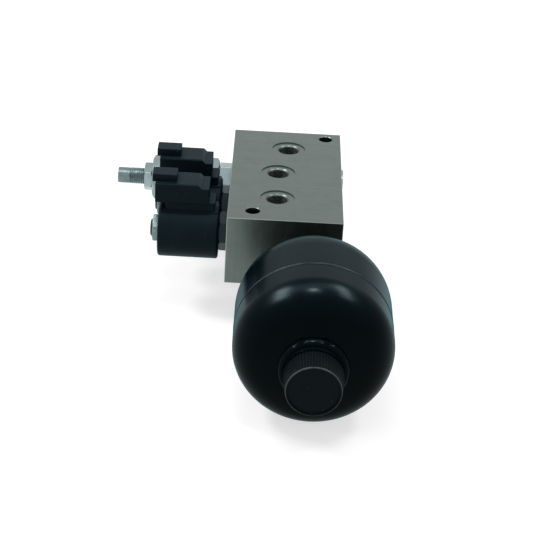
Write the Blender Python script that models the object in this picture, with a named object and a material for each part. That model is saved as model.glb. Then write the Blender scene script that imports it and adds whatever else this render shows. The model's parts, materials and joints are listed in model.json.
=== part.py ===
"""Pilot manifold block with two solenoid valves, a relief valve and a diaphragm accumulator.

Frame: metres, +Z up. The origin is the middle of the block's bottom mounting face. The valves look
towards -X, the accumulator towards -Y and the three line ports towards +Z.

Each valve and the accumulator is modelled along its own axis: an empty stands where the axis leaves
the block, with its local +Z pointing out of the block, and carries the pieces. Heights along such an
axis are positive outside the block and negative inside it.
"""
import math

import bmesh
import bpy
from mathutils import Vector

MM = 0.001

# Clearances
SEAT_GAP = 0.3 * MM             # between pieces that seat on or in each other
WALL_OVERLAP = 1.0 * MM         # how far a cutter runs past the face that it opens
DRILL_PAST = 1.3 * MM           # how far a drilling runs past the middle of the one that it meets

# Roundness of turned pieces, in facets per turn
BLOCK_STEPS = 18
VALVE_STEPS = 16
COIL_STEPS = 24
SHELL_STEPS = 32
SMALL_STEPS = 12
PIN_STEPS = 6
KNUCKLE_STEPS = 4               # along the accumulator's knuckles

# Manifold block
BLOCK_WIDTH = 90 * MM
BLOCK_DEPTH = 168 * MM
BLOCK_HEIGHT = 57 * MM
BLOCK_CHAMFER = 0.6 * MM
GALLERY_RADIUS = 5.0 * MM       # accumulator gallery along the block

# Line ports, G 3/8, with a milled spot face for the seal of the fitting
PORT_RADIUS = 8.4 * MM
PORT_THREAD_DEPTH = 15 * MM
PORT_CHAMFER = 0.9 * MM
PORT_DRILL_RADIUS = 4.5 * MM
SPOT_FACE_RADIUS = 13.7 * MM
SPOT_FACE_DEPTH = 0.8 * MM
TANK_GALLERY_HEIGHT = 17 * MM

# Two through holes for the mounting screws, M10
MOUNT_HOLE_RADIUS = 5.6 * MM
MOUNT_HOLE_CHAMFER = 0.5 * MM
FRONT_MOUNT_HOLE = (-BLOCK_WIDTH / 2 + 19.5 * MM, -BLOCK_DEPTH / 2 + 14.8 * MM)
REAR_MOUNT_HOLE = (BLOCK_WIDTH / 2 - 12.7 * MM, BLOCK_DEPTH / 2 - 10.8 * MM)

# Valve places along the block's left face, from its ends
VALVE_HEIGHT = 28.4 * MM
VALVE_PITCH = 47.3 * MM
RELIEF_PITCH = 45.6 * MM        # from the rear solenoid valve to the relief valve
FRONT_VALVE_Y = -BLOCK_DEPTH / 2 + 32.8 * MM
REAR_VALVE_Y = FRONT_VALVE_Y + VALVE_PITCH
RELIEF_VALVE_Y = REAR_VALVE_Y + RELIEF_PITCH

# Port places: the work ports stand over the valves' lower windows, the tank gallery over the upper ones
WORK_PORT_X = -BLOCK_WIDTH / 2 + 38.3 * MM
WORK_PORT_STEP = 6.4 * MM       # from a valve's axis to its port, along the block
FRONT_PORT = (WORK_PORT_X, FRONT_VALVE_Y + WORK_PORT_STEP)
MIDDLE_PORT = (WORK_PORT_X, REAR_VALVE_Y + WORK_PORT_STEP)
REAR_PORT = (WORK_PORT_X + 7.9 * MM, RELIEF_VALVE_Y + 7.6 * MM)
TANK_PORT_X = -BLOCK_WIDTH / 2 + 24.0 * MM

# Solenoid cartridge, from its hexagon down to its nose
CARTRIDGE_FLATS = 27 * MM
CARTRIDGE_HEX_LENGTH = 6.0 * MM
CARTRIDGE_HEX_TURN = {"front": 20.6, "rear": 33.0}    # degrees
HEX_CHAMFER = 1.2 * MM
CHAMFER_SLOPE = 0.6             # rise of a hexagon's chamfer for its width
THREAD_RADIUS = 11.0 * MM
THREAD_LENGTH = 16 * MM
LAND_RADIUS = 9.0 * MM
LAND_LENGTH = 14 * MM
NOSE_RADIUS = 8.0 * MM
NOSE_LENGTH = 15 * MM
CARTRIDGE_BORE_RADIUS = 4.0 * MM
NOSE_ORIFICE_RADIUS = 2.4 * MM
NOSE_WALL = 2.5 * MM
WINDOW_RADIUS = 1.9 * MM
WINDOW_STEPS = 6
SEAL_SECTION_RADIUS = 0.7 * MM
SEAL_GROOVE_DEPTH = 1.6 * MM
SEAL_GROOVE_WIDTH = 2.2 * MM
SEAL_RING_SIDES = 4

# Solenoid tube, armature and spool
TUBE_RADIUS = 7.0 * MM
TUBE_WALL = 0.8 * MM
TUBE_SOCKET_DEPTH = 4.0 * MM    # how far the tube goes into the hexagon
TUBE_END_WALL = 3.0 * MM
TUBE_PROUD = 1.8 * MM           # how far the tube shows beyond the coil nut
POLE_LENGTH = 25 * MM
SPOOL_TRAVEL = 2.5 * MM
PIN_RADIUS = 1.5 * MM
SPOOL_RADIUS = CARTRIDGE_BORE_RADIUS - SEAT_GAP
SPOOL_WAIST_RADIUS = 2.6 * MM
SPOOL_LENGTH = 27 * MM
SPOOL_LOWER_LAND = 7.8 * MM     # closes the tank window at rest
SPOOL_UPPER_LAND = 6.0 * MM
SPOOL_BORE_RADIUS = 1.3 * MM    # joins the waist with the spring's room
RETURN_SPRING_WIRE = 0.35 * MM  # radius of the wire
RETURN_SPRING_TURNS = 3

# Coil with its moulded tower and connector
COIL_RADIUS = 22.0 * MM
COIL_LENGTH = 47.5 * MM
COIL_EDGE = 1.2 * MM
COIL_SKIN = 3.0 * MM
COIL_END_WALL = 2.2 * MM
FLUX_SLEEVE_WALL = 2.0 * MM
BOBBIN_WALL = 1.0 * MM
BOBBIN_FLANGE = 1.5 * MM
WINDING_THICKNESS = 7.0 * MM
PAD_HALF_WIDTH = 10.3 * MM
PAD_RISE = 21.0 * MM            # top of the pad above the coil's axis
PAD_START = 1.0 * MM            # from the coil's block end
PAD_END_SETBACK = 4.0 * MM      # from the coil's outer end
TOWER_HALF_WIDTH = 9.2 * MM
TOWER_START = 3.4 * MM          # from the coil's block end
TOWER_END_SETBACK = 5.6 * MM    # from the coil's outer end
TOWER_HEEL_RISE = 28.0 * MM
CONNECTOR_HALF_WIDTH = 12.15 * MM
CONNECTOR_BOTTOM = 27.9 * MM
CONNECTOR_TOP = 44.3 * MM
CONNECTOR_CORNER = 1.4 * MM
CONNECTOR_OVERHANG = 2.8 * MM   # beyond the coil's outer end
CONNECTOR_LENGTH = 41.9 * MM
SHELF_DROP = 3.0 * MM           # the back end of the connector is lower
SHELF_LENGTH = 5.4 * MM
SHELF_SLOPE = 2.9 * MM
CONNECTOR_WALL = 1.8 * MM
MOUTH_DEPTH = 18 * MM
HOOD_HALF_WIDTH = 7.0 * MM
HOOD_RISE = 5.6 * MM
HOOD_LENGTH = 19.1 * MM
HOOD_OVERHANG = 2.5 * MM        # beyond the connector's mouth
HOOD_SLOT_HALF_WIDTH = 4.6 * MM
HOOD_SLOT_HEIGHT = 2.6 * MM
CONTACT_RADIUS = 0.75 * MM
CONTACT_LENGTH = 16 * MM
CONTACT_SPREAD = 4.5 * MM       # each contact from the connector's middle
CONTACT_ROOT = 3.0 * MM         # depth of a contact's socket in the moulding

# Coil nut
COIL_NUT_FLATS = 21 * MM
COIL_NUT_LENGTH = 4.4 * MM
COIL_NUT_CHAMFER = 2.0 * MM
COIL_NUT_TURN = -1.5            # degrees

# Relief valve
RELIEF_FLATS = 27 * MM
RELIEF_HEX_LENGTH = 10.0 * MM
RELIEF_HEX_TURN = 40.6          # degrees
RELIEF_NECK_RADIUS = 9.2 * MM
RELIEF_NECK_LENGTH = 9.0 * MM
RELIEF_BORE_RADIUS = 5.6 * MM
RELIEF_SEAT_RADIUS = 2.6 * MM
RELIEF_SEAT_WALL = 4.0 * MM
POPPET_RADIUS = 4.0 * MM
POPPET_LENGTH = 18.0 * MM
POPPET_TRAVEL = 1.5 * MM
HOUSING_FLATS = 32 * MM
HOUSING_LENGTH = 56.0 * MM
HOUSING_CHAMFER = 3.0 * MM
HOUSING_TURN = 23.6             # degrees
HOUSING_END_WALL = 12 * MM
ADJUSTER_RADIUS = 7.0 * MM
ADJUSTER_THREAD_PROUD = 12.8 * MM   # thread that shows beyond the jam nut
ADJUSTER_TIP_RADIUS = 6.6 * MM
ADJUSTER_TIP_LENGTH = 9.5 * MM
ADJUSTER_SOCKET_FLATS = 6.0 * MM
ADJUSTER_SOCKET_DEPTH = 6.0 * MM
SPRING_SEAT_CLEARANCE = 6.6 * MM  # from the neck's end to the spring seat
SPRING_SEAT_LENGTH = 4.0 * MM
SPRING_SPIGOT_RADIUS = 2.6 * MM
SPRING_SPIGOT_LENGTH = 4.0 * MM
RELIEF_SPRING_WIRE = 0.8 * MM   # radius of the wire
RELIEF_SPRING_TURNS = 6
JAM_NUT_FLATS = 21 * MM
JAM_NUT_LENGTH = 6.4 * MM
JAM_NUT_TURN = 8.6              # degrees

# Check valve between the pump port and the accumulator gallery, behind a plug in the right face
CHECK_CAVITY_RADIUS = 7.5 * MM
CHECK_CAVITY_DEPTH = 31 * MM
CHECK_SEAT_RADIUS = 3.2 * MM
CHECK_POPPET_RADIUS = 5.0 * MM
CHECK_POPPET_LENGTH = 8.0 * MM
CHECK_TRAVEL = 2.0 * MM
CHECK_PLUG_LENGTH = 12 * MM
CHECK_PLUG_HEAD_RADIUS = 11.0 * MM
CHECK_PLUG_HEAD = 3.0 * MM
CHECK_PLUG_SOCKET_FLATS = 8.0 * MM
CHECK_PLUG_SOCKET_DEPTH = 6.0 * MM
CHECK_SPRING_WIRE = 0.45 * MM   # radius of the wire
CHECK_SPRING_TURNS = 3

# Accumulator, along its axis from the block's front face
ACCUMULATOR_X = 23.6 * MM
ACCUMULATOR_HEIGHT = 20 * MM
SHELL_RADIUS = 58 * MM
SHELL_WALL = 4.0 * MM
REAR_POLE = 23.6 * MM           # start of the shell, on the axis
REAR_KNUCKLE_OFFSET = 11 * MM   # centre of the knuckle's arc from the axis
REAR_KNUCKLE_RADIUS = SHELL_RADIUS - REAR_KNUCKLE_OFFSET
REAR_CROWN_RADIUS = SHELL_RADIUS + 12 * MM
FLUID_CYLINDER = 30.7 * MM      # straight length from the rear knuckle to the seam
GAS_CYLINDER = 19.2 * MM        # straight length from the seam to the front knuckle
FRONT_KNUCKLE_RADIUS = 25.6 * MM
FRONT_CROWN_RADIUS = SHELL_RADIUS + 72 * MM
SEAM_GROOVE = 0.6 * MM
SEAM_GROOVE_WIDTH = 0.9 * MM
STEM_THREAD_RADIUS = 9.0 * MM
STEM_THREAD_LENGTH = 14 * MM
STEM_SEAL_DEPTH = 2.0 * MM      # pocket in the block's face around the thread
STEM_FLATS = 36 * MM
STEM_HEX_LENGTH = 11 * MM
STEM_HEX_TURN = 10.0            # degrees
STEM_NECK_RADIUS = 15.0 * MM
STEM_BORE_RADIUS = 4.0 * MM
STEM_SEAT_RADIUS = 8.0 * MM
STEM_SEAT_DEPTH = 2.0 * MM
RING_HALF_WIDTH = 3.8 * MM      # clamp ring to each side of the seam
RING_THICKNESS = 3.4 * MM
REBATE_DEPTH = 1.6 * MM         # step in the shells' bore that holds ring and bead
BEAD_WIDTH = 4.0 * MM
BEAD_THICKNESS = 4.6 * MM
DIAPHRAGM_THICKNESS = 2.2 * MM
DIAPHRAGM_FLAT_RADIUS = 24 * MM  # the middle lies flat over the button
DIAPHRAGM_HOLE_RADIUS = 4.6 * MM
BUTTON_RADIUS = 11.0 * MM
BUTTON_THICKNESS = 2.2 * MM
BUTTON_SPIGOT_LENGTH = 3.2 * MM
BOSS_HOLE_RADIUS = 20.0 * MM
BOSS_COLLAR_RADIUS = 25.3 * MM
BOSS_COLLAR_EDGE = 1.4 * MM     # straight edge of the collar above the shell
BOSS_SHOULDER_RADIUS = 21.8 * MM
BOSS_SHOULDER_HEIGHT = 5.6 * MM  # rounding from the collar down to the shoulder
BOSS_LENGTH = 10.3 * MM         # from the shell to the seat of the cap
BOSS_NECK_RADIUS = 18.0 * MM
BOSS_NECK_LENGTH = 10 * MM
BOSS_INNER_LENGTH = 3.0 * MM    # how far the boss reaches into the gas space
GAS_BORE_RADIUS = 3.0 * MM
CHARGE_RADIUS = 13.8 * MM
CHARGE_LENGTH = 11 * MM
CHARGE_SOCKET_FLATS = 8.0 * MM
CHARGE_SOCKET_DEPTH = 6.0 * MM
CHARGE_SEAL_WIDTH = 1.8 * MM
CAP_BASE_RADIUS = 21.5 * MM
CAP_END_RADIUS = 19.9 * MM
CAP_LENGTH = 19.3 * MM
CAP_WALL = 2.6 * MM
CAP_RIM = 1.0 * MM              # width and height of the raised rim at the cap's end
CAP_RIBS = 20
CAP_RIB_DEPTH = 0.7 * MM

FINISHES = {
    "nickel_steel": ((0.32, 0.32, 0.30), 0.38, 1.0),
    "black_moulding": ((0.018, 0.019, 0.021), 0.48, 0.0),
    "zinc_plate": ((0.62, 0.65, 0.66), 0.28, 1.0),
    "dark_steel": ((0.10, 0.105, 0.11), 0.42, 1.0),
    "bright_steel": ((0.55, 0.55, 0.54), 0.25, 1.0),
    "copper_wire": ((0.72, 0.32, 0.16), 0.35, 1.0),
    "nylon": ((0.62, 0.58, 0.48), 0.55, 0.0),
    "rubber": ((0.02, 0.02, 0.02), 0.75, 0.0),
    "black_paint": ((0.012, 0.013, 0.015), 0.16, 0.0),
    "cap_plastic": ((0.016, 0.017, 0.019), 0.42, 0.0),
    "tin_plate": ((0.75, 0.75, 0.74), 0.3, 1.0),
}


def finish(name):
    """Return the Principled material of a finish, made on its first use."""
    found = bpy.data.materials.get(name)
    if found is not None:
        return found
    colour, roughness, metallic = FINISHES[name]
    made = bpy.data.materials.new(name)
    made.use_nodes = True
    shader = made.node_tree.nodes["Principled BSDF"]
    shader.inputs["Base Color"].default_value = (*colour, 1.0)
    shader.inputs["Roughness"].default_value = roughness
    shader.inputs["Metallic"].default_value = metallic
    made.diffuse_color = (*colour, 1.0)
    return made


def axis_frame(name, place, direction):
    """Return an empty at a place whose local +Z points along a direction."""
    empty = bpy.data.objects.new(name, None)
    bpy.context.collection.objects.link(empty)
    empty.location = place
    empty.rotation_mode = "QUATERNION"
    empty.rotation_quaternion = Vector((0, 0, 1)).rotation_difference(Vector(direction))
    return empty


def keep(name, mesh_data, finish_name, frame, smooth_angle=35):
    """Put a finished bmesh into a named object that rides on a frame."""
    bmesh.ops.recalc_face_normals(mesh_data, faces=mesh_data.faces)
    mesh = bpy.data.meshes.new(name)
    mesh_data.to_mesh(mesh)
    mesh_data.free()
    mesh.shade_smooth()
    mesh.set_sharp_from_angle(angle=math.radians(smooth_angle))
    mesh.materials.append(finish(finish_name))
    piece = bpy.data.objects.new(name, mesh)
    bpy.context.collection.objects.link(piece)
    piece.parent = frame
    return piece


def turned(name, outline, steps, finish_name, frame):
    """Spin an outline of (radius, height) points around the frame's local Z axis.

    An outline that starts and ends on the axis gives a solid; any other is closed into a ring.
    """
    bm = bmesh.new()
    corners = [bm.verts.new((radius, 0, height)) for radius, height in outline]
    edges = [bm.edges.new(pair) for pair in zip(corners, corners[1:])]
    if outline[0][0] > 0 or outline[-1][0] > 0:
        edges.append(bm.edges.new((corners[-1], corners[0])))
    bmesh.ops.spin(bm, geom=corners + edges, cent=(0, 0, 0), axis=(0, 0, 1), angle=math.tau,
                   steps=steps, use_merge=True)
    bmesh.ops.remove_doubles(bm, verts=bm.verts, dist=1e-7)
    return keep(name, bm, finish_name, frame)


def extruded(name, corners, direction, finish_name, frame):
    """Extrude a flat polygon of corners by a direction."""
    bm = bmesh.new()
    face = bm.faces.new([bm.verts.new(corner) for corner in corners])
    moved = bmesh.ops.extrude_face_region(bm, geom=[face])["geom"]
    bmesh.ops.translate(bm, verts=[v for v in moved if isinstance(v, bmesh.types.BMVert)], vec=direction)
    return keep(name, bm, finish_name, frame)


def block_between(name, low, high, finish_name, frame):
    """Make a box between two corners."""
    corners = [(low[0], low[1], low[2]), (high[0], low[1], low[2]),
               (high[0], high[1], low[2]), (low[0], high[1], low[2])]
    return extruded(name, corners, (0, 0, high[2] - low[2]), finish_name, frame)


def rounded_rectangle(half_x, low_y, high_y, corner, steps=2):
    """Return the (x, y) points of a rectangle about x = 0 with rounded corners."""
    centres = [(half_x - corner, high_y - corner, 0), (corner - half_x, high_y - corner, 90),
               (corner - half_x, low_y + corner, 180), (half_x - corner, low_y + corner, 270)]
    points = []
    for x, y, start in centres:
        for step in range(steps + 1):
            angle = math.radians(start + 90 * step / steps)
            points.append((x + corner * math.cos(angle), y + corner * math.sin(angle)))
    return points


def helper(piece):
    """Mark a piece as a tool of a Boolean, not a part of the model."""
    piece.hide_render = True
    piece.display_type = "WIRE"
    return piece


def combine(piece, tool, operation):
    """Add a live exact Boolean of a tool to a piece."""
    change = piece.modifiers.new(tool.name, "BOOLEAN")
    change.operation = operation
    change.solver = "EXACT"
    change.object = helper(tool)
    return piece


def hexagon(name, flats, low, high, turn, finish_name, frame, chamfer_low=0.0, chamfer_high=0.0):
    """Make a hexagonal bar across flats, with its corners turned back at a chamfered end."""
    corner = flats / math.sqrt(3)
    chamfered = chamfer_low or chamfer_high
    past = WALL_OVERLAP if chamfered else 0.0
    points = [(corner * math.cos(math.radians(turn + 60 * i)),
               corner * math.sin(math.radians(turn + 60 * i)), low - past) for i in range(6)]
    bar = extruded(name, points, (0, 0, high - low + 2 * past), finish_name, frame)
    if chamfered:
        reach = corner + WALL_OVERLAP
        outline = [(0, low)]
        if chamfer_low:
            outline += [(corner - chamfer_low, low), (reach, low + CHAMFER_SLOPE * (chamfer_low + WALL_OVERLAP))]
        else:
            outline += [(reach, low)]
        if chamfer_high:
            outline += [(reach, high - CHAMFER_SLOPE * (chamfer_high + WALL_OVERLAP)),
                        (corner - chamfer_high, high)]
        else:
            outline += [(reach, high)]
        outline.append((0, high))
        combine(bar, turned(name + "_blank", outline, VALVE_STEPS, finish_name, frame), "INTERSECT")
    return bar


def cut_across(piece, radius, height, steps, frame, reach):
    """Cut one round hole through a piece, across its axis at a height."""
    points = [(radius * math.cos(math.tau * (i + 0.5) / steps), -reach,
               height + radius * math.sin(math.tau * (i + 0.5) / steps)) for i in range(steps)]
    tool = extruded(f"{piece.name}_window_{height:.4f}", points, (0, 2 * reach, 0), "bright_steel", frame)
    combine(piece, tool, "DIFFERENCE")


def seal_ring(name, mean_radius, height, section, steps, frame, finish_name="rubber"):
    """Make a round seal ring about the frame's axis."""
    outline = [(mean_radius + section * math.cos(math.tau * (i + 0.5) / SEAL_RING_SIDES),
                height + section * math.sin(math.tau * (i + 0.5) / SEAL_RING_SIDES))
               for i in range(SEAL_RING_SIDES)]
    return turned(name, outline, steps, finish_name, frame)


def spring(name, mean_radius, wire, low, high, turns, finish_name, frame):
    """Wind a compression spring as a curve; its end turns lie close, like closed ends."""
    steps = 8
    count = turns * steps + 1
    curve = bpy.data.curves.new(name, "CURVE")
    curve.dimensions = "3D"
    curve.bevel_depth = wire
    curve.bevel_resolution = 1
    curve.use_fill_caps = True
    line = curve.splines.new("POLY")
    line.points.add(count - 1)
    span = high - low - 2 * wire
    for i in range(count):
        along = i / (count - 1)
        angle = math.tau * turns * along
        rise = along - 0.035 * math.sin(math.tau * along)
        line.points[i].co = (mean_radius * math.cos(angle), mean_radius * math.sin(angle),
                             low + wire + span * rise, 1)
    curve.materials.append(finish(finish_name))
    piece = bpy.data.objects.new(name, curve)
    bpy.context.collection.objects.link(piece)
    piece.parent = frame
    return piece


def arc(centre_radius, centre_height, radius, start, end, steps):
    """Return (radius, height) points along an arc; angles in degrees from the radial direction."""
    points = []
    for i in range(steps + 1):
        angle = math.radians(start + (end - start) * i / steps)
        points.append((centre_radius + radius * math.cos(angle), centre_height + radius * math.sin(angle)))
    return points


# Heights along the accumulator's axis that follow from the sizes above

REAR_SINK = math.sqrt((REAR_CROWN_RADIUS - REAR_KNUCKLE_RADIUS) ** 2 - REAR_KNUCKLE_OFFSET ** 2)
REAR_TANGENT = REAR_POLE + REAR_CROWN_RADIUS - REAR_SINK
SEAM_PLACE = REAR_TANGENT + FLUID_CYLINDER
FRONT_TANGENT = SEAM_PLACE + GAS_CYLINDER

# Heights along a valve's axis that follow from the sizes above

HEX_FACE = SEAT_GAP                                   # underside of a hexagon, on the block
HEX_TOP = HEX_FACE + CARTRIDGE_HEX_LENGTH
COIL_START = HEX_TOP + SEAT_GAP
COIL_END = COIL_START + COIL_LENGTH
NUT_START = COIL_END + SEAT_GAP
NUT_END = NUT_START + COIL_NUT_LENGTH
TUBE_START = HEX_TOP - TUBE_SOCKET_DEPTH
TUBE_END = NUT_END + TUBE_PROUD
CARTRIDGE_END = -(THREAD_LENGTH + LAND_LENGTH + NOSE_LENGTH)
TANK_WINDOW = -(BLOCK_WIDTH / 2 + TANK_PORT_X)
WORK_WINDOW = TANK_WINDOW - LAND_LENGTH
POLE_START = TUBE_START + SEAT_GAP
POLE_END = POLE_START + POLE_LENGTH
ARMATURE_START = POLE_END + SPOOL_TRAVEL + SEAT_GAP
ARMATURE_END = TUBE_END - TUBE_END_WALL - SEAT_GAP
SPRING_FLOOR = CARTRIDGE_END + NOSE_WALL
SPOOL_END = TUBE_START - 2 * SPOOL_TRAVEL
SPOOL_START = SPOOL_END - SPOOL_LENGTH

RELIEF_HEX_TOP = HEX_FACE + RELIEF_HEX_LENGTH
NECK_TOP = RELIEF_HEX_TOP + RELIEF_NECK_LENGTH
HOUSING_START = RELIEF_HEX_TOP + SEAT_GAP
HOUSING_END = HOUSING_START + HOUSING_LENGTH
JAM_NUT_START = HOUSING_END + SEAT_GAP
JAM_NUT_END = JAM_NUT_START + JAM_NUT_LENGTH
ADJUSTER_THREAD_END = JAM_NUT_END + ADJUSTER_THREAD_PROUD
ADJUSTER_END = ADJUSTER_THREAD_END + ADJUSTER_TIP_LENGTH
SEAT_FACE = NECK_TOP + SPRING_SEAT_CLEARANCE
SEAT_TOP = SEAT_FACE + SPRING_SEAT_LENGTH
ADJUSTER_START = SEAT_TOP + SEAT_GAP
POPPET_SEAT = CARTRIDGE_END + RELIEF_SEAT_WALL
POPPET_START = POPPET_SEAT + SEAT_GAP
POPPET_END = POPPET_START + POPPET_LENGTH


def cavity(name, frame, drill_end):
    """Make the stepped cutter of a cartridge cavity, with its drilling on into the block."""
    thread = THREAD_RADIUS + SEAT_GAP
    land = LAND_RADIUS + SEAT_GAP
    nose = NOSE_RADIUS + SEAT_GAP
    floor = CARTRIDGE_END - SEAT_GAP
    outline = [(0, WALL_OVERLAP), (thread, WALL_OVERLAP), (thread, -THREAD_LENGTH - SEAT_GAP),
               (land, -THREAD_LENGTH - SEAT_GAP),
               (land, -THREAD_LENGTH - LAND_LENGTH - SEAT_GAP),
               (nose, -THREAD_LENGTH - LAND_LENGTH - SEAT_GAP), (nose, floor),
               (PORT_DRILL_RADIUS, floor), (PORT_DRILL_RADIUS, drill_end), (0, drill_end)]
    return turned(name, outline, VALVE_STEPS, "nickel_steel", frame)


def line_port(name, frame, drill_end):
    """Make the cutter of a threaded line port: spot face, chamfer, thread and drilling."""
    floor = -SPOT_FACE_DEPTH
    outline = [(0, WALL_OVERLAP), (SPOT_FACE_RADIUS, WALL_OVERLAP), (SPOT_FACE_RADIUS, floor),
               (PORT_RADIUS + PORT_CHAMFER, floor), (PORT_RADIUS, floor - PORT_CHAMFER),
               (PORT_RADIUS, -PORT_THREAD_DEPTH), (PORT_DRILL_RADIUS, -PORT_THREAD_DEPTH),
               (PORT_DRILL_RADIUS, drill_end), (0, drill_end)]
    return turned(name, outline, BLOCK_STEPS, "nickel_steel", frame)


def manifold_block(frames):
    """Make the block and cut its ports, cavities, galleries and mounting holes."""
    block = block_between("manifold_block", (-BLOCK_WIDTH / 2, -BLOCK_DEPTH / 2, 0),
                          (BLOCK_WIDTH / 2, BLOCK_DEPTH / 2, BLOCK_HEIGHT), "nickel_steel", None)
    edges = block.modifiers.new("edges", "BEVEL")
    edges.width = BLOCK_CHAMFER
    edges.segments = 1
    edges.limit_method = "ANGLE"

    to_gallery = -(BLOCK_WIDTH / 2 + ACCUMULATOR_X + DRILL_PAST)
    for key in ("front", "rear"):
        combine(block, cavity(f"{key}_cavity", frames[key], to_gallery), "DIFFERENCE")
    relief_drill = -(BLOCK_WIDTH / 2 + REAR_PORT[0] + DRILL_PAST)
    combine(block, cavity("relief_cavity", frames["relief"], relief_drill), "DIFFERENCE")

    ports = {"front_port": FRONT_PORT, "middle_port": MIDDLE_PORT, "rear_port": REAR_PORT}
    for name, (x, y) in ports.items():
        over = axis_frame(name + "_axis", (x, y, BLOCK_HEIGHT), (0, 0, 1))
        combine(block, line_port(name, over, VALVE_HEIGHT - BLOCK_HEIGHT - DRILL_PAST), "DIFFERENCE")
    back = axis_frame("tank_port_axis", (TANK_PORT_X, BLOCK_DEPTH / 2, TANK_GALLERY_HEIGHT), (0, 1, 0))
    combine(block, line_port("tank_port", back, FRONT_VALVE_Y - BLOCK_DEPTH / 2 - DRILL_PAST), "DIFFERENCE")

    for name, (x, y) in {"front_mount_hole": FRONT_MOUNT_HOLE, "rear_mount_hole": REAR_MOUNT_HOLE}.items():
        over = axis_frame(name + "_axis", (x, y, BLOCK_HEIGHT), (0, 0, 1))
        wide = MOUNT_HOLE_RADIUS + MOUNT_HOLE_CHAMFER
        outline = [(0, WALL_OVERLAP), (wide, WALL_OVERLAP), (wide, 0), (MOUNT_HOLE_RADIUS, -MOUNT_HOLE_CHAMFER),
                   (MOUNT_HOLE_RADIUS, -BLOCK_HEIGHT - WALL_OVERLAP), (0, -BLOCK_HEIGHT - WALL_OVERLAP)]
        combine(block, turned(name, outline, SMALL_STEPS, "nickel_steel", over), "DIFFERENCE")

    stem_bore = STEM_THREAD_RADIUS + SEAT_GAP
    stem_floor = -STEM_THREAD_LENGTH - SEAT_GAP
    gallery_end = -(REAR_PORT[1] + BLOCK_DEPTH / 2 + DRILL_PAST)
    pocket = STEM_THREAD_RADIUS + 2 * SEAL_SECTION_RADIUS + 2 * SEAT_GAP
    outline = [(0, WALL_OVERLAP), (pocket, WALL_OVERLAP), (pocket, -STEM_SEAL_DEPTH),
               (stem_bore, -STEM_SEAL_DEPTH), (stem_bore, stem_floor), (GALLERY_RADIUS, stem_floor),
               (GALLERY_RADIUS, gallery_end), (0, gallery_end)]
    combine(block, turned("accumulator_port", outline, VALVE_STEPS, "nickel_steel", frames["accumulator"]),
            "DIFFERENCE")

    bore = CHECK_CAVITY_RADIUS + SEAT_GAP
    pump_drill = -(BLOCK_WIDTH / 2 - REAR_PORT[0] + DRILL_PAST)
    outline = [(0, WALL_OVERLAP), (bore, WALL_OVERLAP), (bore, -CHECK_CAVITY_DEPTH),
               (CHECK_SEAT_RADIUS, -CHECK_CAVITY_DEPTH), (CHECK_SEAT_RADIUS, pump_drill), (0, pump_drill)]
    combine(block, turned("check_cavity", outline, VALVE_STEPS, "nickel_steel", frames["check"]), "DIFFERENCE")
    return block


def cartridge_seals(side, frame):
    """Make the two seal rings that sit in a cartridge's grooves."""
    grooves = {"outer": (THREAD_RADIUS, -WALL_OVERLAP),
               "inner": (LAND_RADIUS, -THREAD_LENGTH - LAND_LENGTH / 2)}
    for name, (radius, top) in grooves.items():
        mean = radius - SEAL_GROOVE_DEPTH + SEAT_GAP + SEAL_SECTION_RADIUS
        seal_ring(f"{side}_{name}_seal", mean, top - SEAL_GROOVE_WIDTH / 2, SEAL_SECTION_RADIUS,
                  VALVE_STEPS, frame)


def shank_outline(top):
    """Return the outside of a cartridge from its nose up to a height, with its two seal grooves."""
    outline = [(0, CARTRIDGE_END), (NOSE_RADIUS, CARTRIDGE_END), (NOSE_RADIUS, -THREAD_LENGTH - LAND_LENGTH),
               (LAND_RADIUS, -THREAD_LENGTH - LAND_LENGTH)]
    for radius, groove_top in ((LAND_RADIUS, -THREAD_LENGTH - LAND_LENGTH / 2), (THREAD_RADIUS, -WALL_OVERLAP)):
        low = groove_top - SEAL_GROOVE_WIDTH
        if radius == THREAD_RADIUS:
            outline += [(LAND_RADIUS, -THREAD_LENGTH), (THREAD_RADIUS, -THREAD_LENGTH)]
        outline += [(radius, low), (radius - SEAL_GROOVE_DEPTH, low),
                    (radius - SEAL_GROOVE_DEPTH, groove_top), (radius, groove_top)]
    outline += [(THREAD_RADIUS, top), (0, top)]
    return outline


def solenoid_cartridge(side, frame):
    """Make the cartridge body: hexagon, threaded shank, nose, bore and windows."""
    body = turned(f"{side}_cartridge", shank_outline(HEX_TOP - WALL_OVERLAP), VALVE_STEPS, "dark_steel", frame)
    combine(body, hexagon(f"{side}_cartridge_hexagon", CARTRIDGE_FLATS, HEX_FACE, HEX_TOP, CARTRIDGE_HEX_TURN[side],
                          "dark_steel", frame, chamfer_high=HEX_CHAMFER), "UNION")
    socket = TUBE_RADIUS + SEAT_GAP
    bore = [(0, CARTRIDGE_END - WALL_OVERLAP), (NOSE_ORIFICE_RADIUS, CARTRIDGE_END - WALL_OVERLAP),
            (NOSE_ORIFICE_RADIUS, SPRING_FLOOR), (CARTRIDGE_BORE_RADIUS, SPRING_FLOOR),
            (CARTRIDGE_BORE_RADIUS, TUBE_START - SEAT_GAP), (socket, TUBE_START - SEAT_GAP),
            (socket, HEX_TOP + WALL_OVERLAP), (0, HEX_TOP + WALL_OVERLAP)]
    combine(body, turned(f"{side}_cartridge_bore", bore, SMALL_STEPS, "dark_steel", frame), "DIFFERENCE")
    for height in (TANK_WINDOW, WORK_WINDOW):
        cut_across(body, WINDOW_RADIUS, height, WINDOW_STEPS, frame, THREAD_RADIUS)
    return body


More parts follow.
